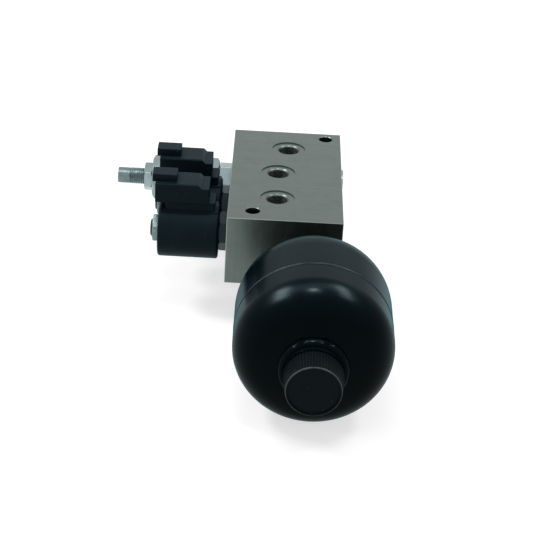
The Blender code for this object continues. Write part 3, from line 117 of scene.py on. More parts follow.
@dataclass
class Form:
    """A surface of four-sided faces: points in millimetres and the corners of each face."""

    points: Array
    faces: Array

    @staticmethod
    def grid(points: Array, closed: bool = False) -> "Form":
        """Join a grid of points that wraps round its columns.

        Args:
            points: Points of shape rows by columns by three.
            closed: Whether the last row joins the first one.

        Returns:
            The grid's surface.
        """
        rows, columns = points.shape[:2]
        index = np.arange(rows * columns).reshape(rows, columns)
        upper = np.roll(index, -1, axis=0) if closed else index[1:]
        lower = index if closed else index[:-1]
        faces = np.stack([lower, np.roll(lower, -1, axis=1), np.roll(upper, -1, axis=1), upper], axis=-1)
        return Form(points.reshape(-1, 3), faces.reshape(-1, 4))

    def reordered(self, order: Sequence[int]) -> "Form":
        """Return the form with its coordinates in another order, to lay it along another direction."""
        return Form(self.points[:, list(order)], self.faces)

    def shifted(self, by: Sequence[float]) -> "Form":
        """Return the form moved by a vector in millimetres."""
        return Form(self.points + np.array(by), self.faces)


def even_turn(columns: int) -> Array:
    """Return evenly spaced angles of one turn, in radians."""
    return np.arange(columns) * (math.tau / columns)


def stack(rows: Sequence[Row], columns: int) -> Array:
    """Write out a profile whose radii and heights may vary round the axis.

    Args:
        rows: Radius and height of each row, each a number or an array over the columns.
        columns: Number of columns.

    Returns:
        An array of shape two by rows by columns: radii, then heights.
    """
    return np.array([[np.broadcast_to(np.asarray(row[k], float), (columns,)) for row in rows] for k in (0, 1)])


def softened(profile: Array, edge: float, steps: int = 2, closed: bool = False) -> Array:
    """Round the corners of a profile.

    Each corner gives way to a curve that runs from a point short of it to a point past it, with the
    corner as its control point: (1-t)^2 A + 2t(1-t) P + t^2 B. The reach is the edge, or less than half
    of a shorter side. Corners that hardly turn keep their single point.

    Args:
        profile: Array of shape two by rows by columns.
        edge: Reach of the rounding to each side, in millimetres.
        steps: Segments in each rounding.
        closed: Whether the profile's last row joins the first one.

    Returns:
        The rounded profile, in the same layout.
    """
    to_before, to_after = np.roll(profile, 1, axis=1) - profile, np.roll(profile, -1, axis=1) - profile
    near, far = np.linalg.norm(to_before, axis=0), np.linalg.norm(to_after, axis=0)
    unit_before = to_before / np.maximum(near, 1e-9)
    unit_after = to_after / np.maximum(far, 1e-9)
    start = profile + unit_before * np.minimum(edge, 0.45 * near)
    end = profile + unit_after * np.minimum(edge, 0.45 * far)
    bend = np.degrees(np.arccos(np.clip(-(unit_before * unit_after).sum(axis=0), -1, 1))).max(axis=1)
    t = np.linspace(0.0, 1.0, steps + 1)[:, None]
    out: list[Array] = []
    for i, turn in enumerate(bend):
        first, corner, last = (points[:, i][:, None] for points in (start, profile, end))
        kept = turn < SHARP_TURN or (not closed and i in (0, len(bend) - 1))
        out.append(corner if kept else (1 - t) ** 2 * first + 2 * t * (1 - t) * corner + t ** 2 * last)
    return np.concatenate(out, axis=1)


def spun(profile: Array, angles: Array, closed: bool = False) -> Form:
    """Carry a profile round the axis: x is radius times cosine, y is radius times sine, z is height.

    Args:
        profile: Array of shape two by rows by columns.
        angles: Angle of each column, in radians.
        closed: Whether the profile is a loop, which gives a ring.

    Returns:
        The turned surface.
    """
    radius, height = profile
    points = np.stack([radius * np.cos(angles), radius * np.sin(angles), height], axis=-1)
    return Form.grid(points, closed)


def turned(rows: Sequence[Row], around: Union[int, Array] = 96, edge: float = 0.2, closed: bool = False,
           steps: int = 2) -> Form:
    """Turn a profile of (radius, height) rows.

    Args:
        rows: The profile; an open one starts and ends on the axis.
        around: Facets per turn, or the angle of each column in radians.
        edge: Reach of the rounding at its corners; 0 leaves them sharp.
        closed: Whether the profile is a loop, which gives a ring.
        steps: Segments in each rounding.

    Returns:
        The turned form.
    """
    angles = even_turn(around) if isinstance(around, int) else around
    profile = stack(rows, len(angles))
    return spun(softened(profile, edge, steps, closed) if edge else profile, angles, closed)


def ring(rows: Sequence[Row], around: Union[int, Array], edge: float = 0.2, steps: int = 2) -> Form:
    """Turn a profile that is a loop into a ring; the arguments are those of turned."""
    return turned(rows, around, edge, True, steps)


def hole_cutter(steps: Sequence[tuple[float, float]], top: float = PAST_FACE, columns: int = 64) -> Form:
    """Make the cutter of a stepped hole, with sharp corners.

    Args:
        steps: Radius and floor of each step, from the opening inwards.
        top: Height where the cutter starts, past the opening.
        columns: Facets per turn.

    Returns:
        The cutter about its own axis.
    """
    rows: list[Row] = [(0, top)]
    for radius, floor in steps:
        rows += [(radius, top), (radius, floor)]
        top = floor
    return turned([*rows, (0, top)], columns, 0)


def outline_ring(points: Array, height: float) -> Array:
    """Return an outline's points (u, v) at a height along the third coordinate."""
    return np.column_stack([points, np.full(len(points), height)])


@dataclass(frozen=True)
class Hexagon:
    """A hexagon across its flats, turned by an angle, with slightly rounded corners."""

    flats: float
    turn: float = 0.0
    corner: float = 0.35
    on_flat: int = 11

    @property
    def corner_radius(self) -> float:
        """Return the radius to the sharp corner."""
        return self.flats / math.sqrt(3)

    @property
    def arc_centre(self) -> float:
        """Return the distance from the axis to the centre of a corner's arc."""
        return (self.flats / 2 - self.corner) / math.cos(math.pi / 6)

    @property
    def arc_reach(self) -> float:
        """Return the angle from a corner to the end of its arc, in degrees."""
        return math.degrees(math.atan2(self.corner / 2, self.arc_centre + self.corner * math.cos(math.pi / 6)))

    def angles(self) -> Array:
        """Return column angles that fall on the corner arcs and along the flats, in radians.

        Returns:
            The angles of one turn.
        """
        reach = self.arc_reach
        along = np.linspace(reach, 60 - reach, self.on_flat + 2)
        sector = np.concatenate([np.linspace(-reach, reach, 5)[:-1], along[:-1]])
        turns = (60.0 * np.arange(6))[:, None] + sector[None, :] + self.turn
        return np.radians(turns.ravel())

    def radius(self, angles: Array) -> Array:
        """Return the hexagon's radius at each angle: half the flats over the cosine from a flat's middle.

        Args:
            angles: Angles in radians.

        Returns:
            The radii; near a corner the ray meets the corner's arc.
        """
        from_corner = np.radians((np.degrees(angles) - self.turn + 30) % 60 - 30)
        flat = self.flats / 2 / np.cos(math.pi / 6 - np.abs(from_corner))
        centre = self.arc_centre
        room = np.maximum(self.corner ** 2 - (centre * np.sin(from_corner)) ** 2, 0.0)
        arc = centre * np.cos(from_corner) + np.sqrt(room)
        return np.where(np.abs(from_corner) < math.radians(self.arc_reach), arc, flat)

    def end(self, height: float, chamfer: float, outwards: float, angles: Array) -> list[Row]:
        """Return the rows where the flats end: the chamfer's curved edge and its inner circle.

        The chamfer is a cone that starts a chamfer's width inside the corners, so its edge on a flat
        lies back by the slope times what the hexagon stands out beyond that circle.

        Args:
            height: Height of the end face.
            chamfer: Width of the chamfer at the corners.
            outwards: +1 for an upper end, -1 for a lower one.
            angles: Column angles.

        Returns:
            The row on the flats, then the row on the end face.
        """
        radius = self.radius(angles)
        inner = np.minimum(radius, self.corner_radius - chamfer) if chamfer else radius
        back = CHAMFER_SLOPE * (radius - inner)
        return [(radius, height - outwards * back), (inner, np.full_like(radius, height))]


def rectangle(half_u: float, low_v: float, high_v: float, corner: float, steps: int = 5) -> Array:
    """Return the outline of a rectangle with rounded corners about u = 0.

    Args:
        half_u: Half its width.
        low_v: Its lower side.
        high_v: Its upper side.
        corner: Radius of its corners.
        steps: Segments in each corner.

    Returns:
        Points (u, v), one to a row.
    """
    corner = max(corner, 0.01)
    starts = np.radians([0.0, 90.0, 180.0, 270.0])
    centres = np.array([(half_u - corner, high_v - corner), (corner - half_u, high_v - corner),
                        (corner - half_u, low_v + corner), (half_u - corner, low_v + corner)])
    swing = np.linspace(0, math.pi / 2, steps + 1)
    angle = starts[:, None] + swing[None, :]
    points = centres[:, None, :] + corner * np.stack([np.cos(angle), np.sin(angle)], axis=-1)
    return points.reshape(-1, 2)


def rounded_bar(half_u: float, low_v: float, high_v: float, corner: float, low: float, high: float,
                edge: float = 0.5, steps: int = 3) -> Form:
    """Make a bar of rounded section whose ends are rounded too.

    Near an end the section shrinks along a quarter circle: the inset is edge (1 - sin a) at a depth of
    edge (1 - cos a).

    Args:
        half_u: Half width of the section.
        low_v: Lower side of the section.
        high_v: Upper side of the section.
        corner: Corner radius of the section.
        low: Start of the bar.
        high: End of the bar.
        edge: Radius of the rounding at the ends.
        steps: Segments in that rounding.

    Returns:
        The closed bar along its third coordinate.
    """
    swing = np.linspace(0, math.pi / 2, steps + 1)
    inset = edge * (1 - np.sin(swing))
    depth = edge * (1 - np.cos(swing))
    heights = [*zip(inset, low + depth), *zip(inset[::-1], high - depth[::-1])]
    rings = [outline_ring(rectangle(half_u - i, low_v + i, high_v - i, corner - i), at) for i, at in heights]
    first, last = (np.broadcast_to([0.0, (low_v + high_v) / 2, at], (BAR_POINTS, 3)) for at in (low, high))
    return Form.grid(np.array([first, *rings, last]))


def prism(corners: Sequence[tuple[float, float]], low: float, high: float) -> Form:
    """Extrude a polygon of (u, v) corners from low to high, along the third coordinate.

    Args:
        corners: The polygon.
        low: Where it starts.
        high: Where it ends.

    Returns:
        The closed prism.
    """
    flat = np.array(corners, float)
    tip = np.broadcast_to(flat.mean(axis=0), flat.shape)
    rings = [(tip, low), (flat, low), (flat, high), (tip, high)]
    return Form.grid(np.array([outline_ring(points, height) for points, height in rings]))


def threaded(radius: float, depth: float, pitch: float, heights: Array, angles: Array) -> Array:
    """Return the wall of a thread: at each point the radius less the depth times the thread's wave.

    The wave is 0 on the flat crest and 1 in the flat root. Its phase in turns is the height over the
    pitch less the angle over a full turn.

    Args:
        radius: Radius of the crest.
        depth: Depth of the root.
        pitch: Rise of one turn.
        heights: Heights of the wall's rows.
        angles: Angles of its columns, in radians.

    Returns:
        A profile of shape two by rows by columns.
    """
    phase = heights[:, None] / pitch - angles[None, :] / math.tau
    wave = np.clip(1.5 - 3.0 * np.abs(phase % 1.0 - 0.5) - 0.2, 0.0, 1.0)
    return np.stack([radius - depth * wave, np.broadcast_to(heights[:, None], wave.shape)])


def helix_wire(mean: float, wire: float, low: float, high: float, turns: float, around: int = 10,
               per_turn: int = 28) -> Form:
    """Wind a round wire into a compression spring with closed ends.

    The wire's middle turns evenly while its height eases in and out, so the end turns lie close; round
    it the section is a circle in the plane of the radius and the axis.

    Args:
        mean: Radius of the wire's middle.
        wire: Radius of the wire.
        low: Lower end of the spring.
        high: Upper end of the spring.
        turns: Number of turns.
        around: Points round the wire.
        per_turn: Points along each turn.

    Returns:
        The closed wire, with its ends drawn to a point.
    """
    count = int(turns * per_turn) + 1
    share = np.linspace(0, 1, count)
    angle = math.tau * turns * share
    close = min(0.8 / turns, 0.3)
    eased = np.clip((share - close * 0.5) / (1 - close), 0, 1)
    height = low + wire + (high - low - 2 * wire) * (0.06 * share + 0.94 * eased)
    section = even_turn(around)
    size = np.ones(count)
    size[[0, -1]] = 0.0
    radius = mean + wire * size[:, None] * np.cos(section)[None, :]
    points = np.stack([radius * np.cos(angle)[:, None], radius * np.sin(angle)[:, None],
                       height[:, None] + wire * size[:, None] * np.sin(section)[None, :]], axis=-1)
    return Form.grid(points)


def torus(mean: float, height: float, section: float, columns: int = 72) -> Form:
    """Make a round ring of round section: the radius is mean plus section times cosine.

    Args:
        mean: Radius of the ring's middle.
        height: Height of the ring.
        section: Radius of its section.
        columns: Facets per turn.

    Returns:
        The closed ring.
    """
    around = even_turn(14)
    rows = [(mean + section * c, height + section * s) for c, s in zip(np.cos(around), np.sin(around))]
    return ring(rows, columns, 0)


# Materials


class Nodes:
    """A node tree under construction, for a material or a shared group."""

    def __init__(self, tree: bpy.types.NodeTree) -> None:
        """Keep the tree to build in."""
        self.tree = tree

    def add(self, kind: str, values: Optional[dict] = None, **settings: object) -> bpy.types.Node:
        """Add a node.

        Args:
            kind: The node's type name.
            values: Values or sockets for its inputs, by name or index.
            **settings: Attributes of the node.

        Returns:
            The new node.
        """
        node = self.tree.nodes.new(kind)
        for key, value in settings.items():
            setattr(node, key, value)
        for key, value in (values or {}).items():
            if isinstance(value, bpy.types.NodeSocket):
                self.tree.links.new(value, node.inputs[key])
            else:
                node.inputs[key].default_value = value
        return node

    def math(self, operation: str, first: object, second: object = 0.0) -> bpy.types.NodeSocket:
        """Return a sum, product or other result of two numbers."""
        return self.add("ShaderNodeMath", {0: first, 1: second}, operation=operation).outputs[0]

    def over(self, operation: str, values: Sequence[object]) -> bpy.types.NodeSocket:
        """Return the result of an operation over three or more numbers, taken in order.

        Args:
            operation: Name of the operation.
            values: The numbers or sockets.

        Returns:
            The socket of the result.
        """
        total = values[0]
        for value in values[1:]:
            total = self.math(operation, total, value)
        return total

    def blend(self, first: object, share: object, second: object, other: object) -> bpy.types.NodeSocket:
        """Return the sum of two numbers, each times its share."""
        return self.math("ADD", self.math("MULTIPLY", first, share), self.math("MULTIPLY", second, other))

    def vector(self, operation: str, first: object, second: object = (0.0, 0.0, 0.0)) -> bpy.types.NodeSocket:
        """Return a vector's result with another, or its length."""
        node = self.add("ShaderNodeVectorMath", {0: first, 1: second}, operation=operation)
        return node.outputs["Value" if operation == "LENGTH" else 0]

    def noise(self, vector: object, scale: object, detail: float, rough: float,
              twist: float = 0.0) -> bpy.types.NodeSocket:
        """Return a noise of some detail, roughness and distortion."""
        return self.add("ShaderNodeTexNoise", {"Vector": vector, "Scale": scale, "Detail": detail, "Roughness": rough,
                                               "Distortion": twist}).outputs[0]

    def spread(self, value: object, low: object, high: object, to_low: float, to_high: float) -> bpy.types.NodeSocket:
        """Return a value carried from one span to another and kept inside it."""
        return self.add("ShaderNodeMapRange", {"Value": value, "From Min": low, "From Max": high,
                                               "To Min": to_low, "To Max": to_high}).outputs["Result"]

    def mix(self, share: object, first: object, second: object) -> bpy.types.NodeSocket:
        """Return a colour between two."""
        ends = {key: value if isinstance(value, bpy.types.NodeSocket) else (*value, 1.0)
                for key, value in ((6, first), (7, second))}
        return self.add("ShaderNodeMix", {0: share, **ends}, data_type="RGBA").outputs[2]

    def place(self) -> bpy.types.NodeSocket:
        """Return the point's place on the object."""
        return self.add("ShaderNodeTexCoord").outputs["Object"]

    def feed(self, target: bpy.types.Node, **sockets: bpy.types.NodeSocket) -> None:
        """Link sockets to a node's inputs, whose names are given with a low line for each space."""
        for name, socket in sockets.items():
            self.tree.links.new(socket, target.inputs[name.replace("_", " ")])


class Effect(Enum):
    """Surface effects that several materials share, each a node group."""

    RELIEF = "surface_relief"
    STROKES = "brush_strokes"
    BLOTCHES = "plating_blotches"
    SPECKS = "dust_specks"

    def tree(self) -> bpy.types.NodeTree:
        """Return the effect's node group, made on its first use."""
        found = bpy.data.node_groups.get(self.value)
        return found if found is not None else getattr(self, "_" + self.name.lower())()

    def _start(self, outputs: Sequence[str], **inputs: object) -> tuple[Nodes, list, bpy.types.Node]:
        """Open a group with named sockets.

        Args:
            outputs: Names of the outputs, all numbers.
            **inputs: Default of each input; a vector input has the default None.

        Returns:
            The builder, the input sockets in their order, and the output node.
        """
        tree = bpy.data.node_groups.new(self.value, "ShaderNodeTree")
        for name, default in inputs.items():
            kind = "NodeSocketVector" if default is None else "NodeSocketFloat"
            made = tree.interface.new_socket(name=name, in_out="INPUT", socket_type=kind)
            if default is not None:
                made.default_value = default
        for name in outputs:
            tree.interface.new_socket(name=name, in_out="OUTPUT", socket_type="NodeSocketFloat")
        nodes = Nodes(tree)
        entry = nodes.add("NodeGroupInput")
        return nodes, [entry.outputs[name] for name in inputs], nodes.add("NodeGroupOutput")

    def _relief(self) -> bpy.types.NodeTree:
        """Fine noise for a bump's height, and a broad noise for slow changes.

        Returns:
            The group.
        """
        nodes, (vector, scale, broad), leave = self._start(("Height", "Broad"), Vector=None, Scale=900.0, Wide=30.0)
        nodes.feed(leave, Height=nodes.noise(vector, scale, 3.0, 0.55), Broad=nodes.noise(vector, broad, 4.0, 0.6))
        return nodes.tree

    def _strokes(self) -> bpy.types.NodeTree:
        """Two noises stretched along one direction: the fine strokes of a belt or a mill.

        Returns:
            The group.
        """
        nodes, (vector, stretch, scale), leave = self._start(("Lines", "Bands"), Vector=None, Stretch=None, Scale=1.0)
        pulled = nodes.vector("MULTIPLY", vector, stretch)
        nodes.feed(leave, Lines=nodes.noise(pulled, scale, 5.0, 0.7),
                   Bands=nodes.noise(pulled, nodes.math("MULTIPLY", scale, 0.14), 2.0, 0.5))
        return nodes.tree

    def _blotches(self) -> bpy.types.NodeTree:
        """Soft cloudy patches, as a plating or a passivation shows.

        Returns:
            The group.
        """
        nodes, (vector, scale, cover), leave = self._start(("Mask",), Vector=None, Scale=120.0, Cover=0.5)
        cloud = nodes.noise(vector, scale, 6.0, 0.62, 0.8)
        nodes.feed(leave, Mask=nodes.spread(cloud, nodes.math("SUBTRACT", cover, 0.12),
                                            nodes.math("ADD", cover, 0.14), 0.0, 1.0))
        return nodes.tree

    def _specks(self) -> bpy.types.NodeTree:
        """Small scattered spots: the core of each cell of a Voronoi pattern, in only some of the cells.

        Returns:
            The group.
        """
        nodes, (vector, scale, size, share), leave = self._start(("Mask",), Vector=None, Scale=400.0, Size=0.12,
                                                                 Share=0.2)
        cells = nodes.add("ShaderNodeTexVoronoi", {"Vector": vector, "Scale": scale})
        parts = nodes.add("ShaderNodeSeparateColor", {0: cells.outputs["Color"]})
        nodes.feed(leave, Mask=nodes.math("MULTIPLY", nodes.math("LESS_THAN", cells.outputs["Distance"], size),
                                          nodes.math("LESS_THAN", parts.outputs[0], share)))
        return nodes.tree

    def at(self, nodes: Nodes, **values: object) -> Mapping[str, bpy.types.NodeSocket]:
        """Place the group in a material.

        Args:
            nodes: The material's builder.
            **values: Values or sockets for the group's inputs.

        Returns:
            The group's outputs by name.
        """
        return nodes.add("ShaderNodeGroup", values, node_tree=self.tree()).outputs


DUST_COLOUR = (0.16, 0.16, 0.16)
DUST_SCALE = 520.0
DUST_SIZE = 0.16


class Pattern(Enum):
    """What the fine surface of a finish looks like."""

    PLATED = "plated"       # machined, then plated: faint strokes round it and cloudy patches
    PEEL = "peel"           # sprayed gloss paint
    GRAIN = "grain"         # moulded plastic or rubber
    DRAWN = "drawn"         # drawn wire or ground steel


@dataclass(frozen=True)
class Finish:
    """One surface finish and the procedural material that shows it."""

    name: str
    colour: Triple
    second: Triple
    metallic: float
    roughness: tuple[float, float]
    pattern: Pattern
    scale: float = 900.0
    relief: float = 0.00002
    broad: float = 60.0
    stretch: Triple = (1.0, 1.0, 1.0)
    specular: float = 0.5
    tint: Triple = (1.0, 1.0, 1.0)
    ior: float = 1.5
    film: Triple | None = None
    dust: float = 0.0

    def material(self) -> bpy.types.Material:
        """Return the finish's material, made on its first use.

        The colour runs between the finish's two colours by a cloudy mask, the roughness between its two
        values by the same mask, and a bump carries the fine relief. A film tints what shines at a slant and
        adds no shine of its own.

        Returns:
            The material.
        """
        found = bpy.data.materials.get(self.name)
        if found is not None:
            return found
        made = bpy.data.materials.new(self.name)
        made.use_nodes = True
        made.diffuse_color = (*self.colour, 1.0)
        shader = made.node_tree.nodes["Principled BSDF"]
        values = {"Metallic": self.metallic, "Specular IOR Level": self.specular, "Specular Tint": (*self.tint, 1.0),
                  "IOR": self.ior}
        if self.film is not None:
            values.update({"Coat Weight": 1.0, "Coat IOR": 1.0, "Coat Tint": (*self.film, 1.0)})
        for name, value in values.items():
            shader.inputs[name].default_value = value
        self.dress(Nodes(made.node_tree), shader)
        return made

    def bump(self, nodes: Nodes, height: bpy.types.NodeSocket) -> bpy.types.NodeSocket:
        """Return the normal that a height gives at the finish's relief."""
        return nodes.add("ShaderNodeBump", {"Strength": 1.0, "Distance": self.relief, "Height": height}).outputs[0]

    def dress(self, nodes: Nodes, shader: bpy.types.Node) -> None:
        """Feed colour, roughness and normal from the shared effects.

        Args:
            nodes: The material's builder.
            shader: Its Principled shader.
        """
        place = nodes.place()
        cloud = Effect.BLOTCHES.at(nodes, Vector=place, Scale=self.broad, Cover=0.5)["Mask"]
        if self.pattern in (Pattern.PLATED, Pattern.DRAWN):
            strokes = Effect.STROKES.at(nodes, Vector=place, Stretch=self.stretch, Scale=self.scale)
            height, mask = strokes["Lines"], nodes.blend(cloud, 0.6, strokes["Bands"], 0.4)
        else:
            relief = Effect.RELIEF.at(nodes, Vector=place, Scale=self.scale, Wide=self.broad)
            height, mask = relief["Height"], nodes.blend(cloud, 0.5, relief["Broad"], 0.5)
        colour = nodes.mix(mask, self.colour, self.second)
        rough = nodes.spread(mask, 0.0, 1.0, *self.roughness)
        if self.dust:
            specks = Effect.SPECKS.at(nodes, Vector=place, Scale=DUST_SCALE, Size=DUST_SIZE, Share=self.dust)["Mask"]
            colour = nodes.mix(nodes.math("MULTIPLY", specks, 0.5), colour, DUST_COLOUR)
            rough = nodes.math("ADD", rough, nodes.math("MULTIPLY", specks, 0.3))
        nodes.feed(shader, Base_Color=colour, Roughness=rough, Normal=self.bump(nodes, height))


@dataclass(frozen=True)
class BlockFinish(Finish):
    """Nickel plated block: belt strokes upright on its sides and along its top, a painted highlight along its edges
    and painted shade in its holes.
    """

    middle: Triple = (0.0, 0.0, 0.0285)
    half: Triple = (0.045, 0.084, 0.0285)
    edge_colour: Triple = (0.36, 0.4, 0.385)
    hole_colour: Triple = (0.03, 0.032, 0.031)
    wear_depth: tuple[float, float] = (0.0004, 0.0008)  # metres from an edge: painted highlight, then plated
    oil_depth: tuple[float, float] = (0.0009, 0.0024)   # metres inside a face: unshaded, then painted shade

    def depths(self, nodes: Nodes, place: bpy.types.NodeSocket) -> list[bpy.types.NodeSocket]:
        """Return how far inside the block's faces a point lies along x, y and z: half its side less the distance."""
        away = nodes.vector("ABSOLUTE", nodes.vector("SUBTRACT", place, self.middle))
        return list(nodes.add("ShaderNodeSeparateXYZ", {0: nodes.vector("SUBTRACT", self.half, away)}).outputs)

    def dress(self, nodes: Nodes, shader: bpy.types.Node) -> None:
        """Choose the strokes by the way a face looks, then feed colour, roughness and normal.

        The painted highlight along the edges follows the second smallest depth, which is the sum of all three
        less the smallest and the largest: it is near 0 only along the block's edges.

        Args:
            nodes: The material's builder.
            shader: Its Principled shader.
        """
        where = nodes.add("ShaderNodeTexCoord")
        place = where.outputs["Object"]
        facing = nodes.add("ShaderNodeSeparateXYZ", {0: where.outputs["Normal"]})
        on_top = nodes.math("GREATER_THAN", nodes.math("ABSOLUTE", facing.outputs[2]), 0.7)
        on_side = nodes.math("SUBTRACT", 1.0, on_top)
        upright = Effect.STROKES.at(nodes, Vector=place, Stretch=(1.0, 1.0, 0.035), Scale=self.scale)
        along = Effect.STROKES.at(nodes, Vector=place, Stretch=(0.05, 1.0, 1.0), Scale=self.scale * 0.8)
        cloud = Effect.BLOTCHES.at(nodes, Vector=place, Scale=self.broad, Cover=0.52)["Mask"]
        lines, bands = (nodes.blend(upright[name], on_side, along[name], on_top) for name in ("Lines", "Bands"))
        shade = nodes.spread(nodes.blend(cloud, 0.3, bands, 0.7), 0.2, 0.8, 0.0, 1.0)
        inwards = self.depths(nodes, place)
        nearest = nodes.over("MINIMUM", inwards)
        outer = nodes.math("ADD", nearest, nodes.over("MAXIMUM", inwards))
        second = nodes.math("SUBTRACT", nodes.over("ADD", inwards), outer)
        # painted highlight: a lighter colour in a thin band along the block's edges, with a ragged inner border
        uneven = nodes.math("ADD", second, nodes.math("MULTIPLY", lines, self.wear_depth[0]))
        edge_highlight = nodes.spread(uneven, *self.wear_depth, 1.0, 0.0)
        # painted shade: the colour darkens towards the hole colour the deeper a point lies inside the block, in the
        # ports and bores; it is also rougher there
        hole_shade = nodes.spread(nearest, *self.oil_depth, 0.0, 1.0)
        plated = nodes.mix(edge_highlight, nodes.mix(shade, self.colour, self.second), self.edge_colour)
        rough = nodes.math("ADD", nodes.spread(lines, 0.3, 0.7, *self.roughness), nodes.math("MULTIPLY", hole_shade, 0.15))
        nodes.feed(shader, Base_Color=nodes.mix(hole_shade, plated, self.hole_colour), Roughness=rough,
                   Normal=self.bump(nodes, lines))


@dataclass(frozen=True)
class BandHighlightFinish(Finish):
    """A black finish with a painted highlight on a raised band about the accumulator's axis."""

    axis_x: float = 0.0236
    axis_z: float = 0.02
    span: tuple[float, float] = (0.0, 0.0)
    from_radius: tuple[float, float] = (0.0, 0.0)
    rubbed: Triple = (0.05, 0.06, 0.062)

    def dress(self, nodes: Nodes, shader: bpy.types.Node) -> None:
        """Dress as any finish, then paint a highlight on the band: within the span of y and past the radius, unevenly.

        Args:
            nodes: The material's builder.
            shader: Its Principled shader.
        """
        super().dress(nodes, shader)
        place = nodes.place()
        away = nodes.vector("SUBTRACT", place, (self.axis_x, 0.0, self.axis_z))
        radius = nodes.vector("LENGTH", nodes.vector("MULTIPLY", away, (1.0, 0.0, 1.0)))
        along = nodes.add("ShaderNodeSeparateXYZ", {0: place}).outputs[1]
        inside = nodes.math("MULTIPLY", nodes.math("GREATER_THAN", along, self.span[0]),
                            nodes.math("LESS_THAN", along, self.span[1]))
        # painted highlight: a lighter colour on the band's raised part, broken up by a cloudy mask
        raised = nodes.math("MULTIPLY", nodes.spread(radius, *self.from_radius, 0.0, 1.0), inside)
        uneven = Effect.BLOTCHES.at(nodes, Vector=place, Scale=130.0, Cover=0.42)["Mask"]
        share = nodes.math("MULTIPLY", raised, nodes.spread(uneven, 0.0, 1.0, 0.35, 1.0))
        base = shader.inputs["Base Color"].links[0].from_socket
        nodes.feed(shader, Base_Color=nodes.mix(share, base, self.rubbed))


TEAL = (0.7, 0.95, 1.0)

NICKEL = BlockFinish("nickel_block", (0.137, 0.17, 0.157), (0.116, 0.145, 0.133), 1.0, (0.26, 0.4), Pattern.DRAWN,
                     scale=2600.0, relief=0.00001, broad=70.0)
ZINC = Finish("zinc_plate", (0.3, 0.385, 0.393), (0.215, 0.28, 0.287), 1.0, (0.14, 0.27), Pattern.PLATED,
              scale=1500.0, relief=0.000008, broad=160.0, stretch=(0.3, 1.0, 1.0))
SCREW_STEEL = Finish("screw_steel", (0.188, 0.25, 0.257), (0.125, 0.168, 0.171), 1.0, (0.28, 0.4), Pattern.PLATED,
                     scale=1800.0, relief=0.000008, broad=220.0, stretch=(0.3, 1.0, 1.0))
DARK_STEEL = Finish("dark_plated_steel", (0.017, 0.026, 0.028), (0.029, 0.042, 0.045), 1.0, (0.25, 0.42),
                    Pattern.PLATED, scale=1500.0, relief=0.000008, broad=140.0, stretch=(0.3, 1.0, 1.0))
BRIGHT_STEEL = Finish("ground_steel", (0.45, 0.45, 0.445), (0.34, 0.34, 0.335), 1.0, (0.18, 0.3), Pattern.DRAWN,
                      scale=2500.0, relief=0.000006, broad=200.0, stretch=(0.1, 1.0, 1.0))
SPRING_STEEL = Finish("spring_wire", (0.28, 0.28, 0.29), (0.18, 0.18, 0.19), 1.0, (0.25, 0.4), Pattern.DRAWN,
                      scale=1500.0, relief=0.000008, broad=300.0)
COPPER = Finish("enamelled_copper", (0.62, 0.24, 0.1), (0.46, 0.15, 0.06), 1.0, (0.2, 0.34), Pattern.DRAWN,
                scale=1200.0, relief=0.000006, broad=260.0)
TIN = Finish("tin_plate", (0.66, 0.66, 0.65), (0.52, 0.52, 0.51), 1.0, (0.2, 0.32), Pattern.PLATED,
             scale=2000.0, relief=0.000005, broad=400.0)
MOULDING = Finish("black_moulding", (0.0045, 0.009, 0.0118), (0.007, 0.0128, 0.0162), 0.0, (0.36, 0.48),
                  Pattern.GRAIN, scale=2400.0, relief=0.00003, broad=55.0, specular=0.072, tint=TEAL,
                  film=(0.9, 0.965, 0.985), dust=0.04)
NYLON = Finish("natural_nylon", (0.6, 0.56, 0.46), (0.52, 0.48, 0.38), 0.0, (0.42, 0.55), Pattern.GRAIN,
               scale=1800.0, relief=0.00001, broad=60.0)
RUBBER = Finish("black_rubber", (0.014, 0.014, 0.014), (0.024, 0.024, 0.024), 0.0, (0.55, 0.7), Pattern.GRAIN,
                scale=2200.0, relief=0.00002, broad=70.0, specular=0.35)
# its rubbed band is a painted highlight along the crest of the weld bead at the seam
PAINT = BandHighlightFinish("gloss_black_paint", (0.0002, 0.0009, 0.0013), (0.0004, 0.0013, 0.0019), 0.0, (0.21, 0.29),
                     Pattern.PEEL, scale=420.0, relief=0.00001, broad=35.0, specular=0.5, tint=TEAL, ior=1.12,
                     film=(0.88, 0.94, 0.95), span=(-0.1890, -0.1872), from_radius=(0.05803, 0.05811),
                     rubbed=(0.035, 0.045, 0.047))
# its rubbed band is a painted highlight on the outer edge of the cap's rim
CAP_PLASTIC = BandHighlightFinish("black_cap_plastic", (0.0032, 0.0056, 0.0068), (0.005, 0.0082, 0.0097), 0.0, (0.26, 0.38),
                           Pattern.GRAIN, scale=1600.0, relief=0.00001, broad=60.0, specular=0.05, tint=TEAL,
                           dust=0.03, span=(-0.2670, -0.2643), from_radius=(0.0189, 0.0194),
                           rubbed=(0.075, 0.09, 0.092))


# Making the pieces


def cleaned(mesh: bpy.types.Mesh) -> bpy.types.Mesh:
    """Weld a mesh's doubled points, drop what has no size and turn all faces outwards.

    Args:
        mesh: The mesh to clean.

    Returns:
        The same mesh.
    """
    work = bmesh.new()
    work.from_mesh(mesh)
    bmesh.ops.remove_doubles(work, verts=work.verts, dist=WELD_DISTANCE)
    bmesh.ops.dissolve_degenerate(work, edges=work.edges, dist=WELD_DISTANCE / 2)
    bmesh.ops.recalc_face_normals(work, faces=work.faces)
    work.to_mesh(mesh)
    work.free()
    return mesh


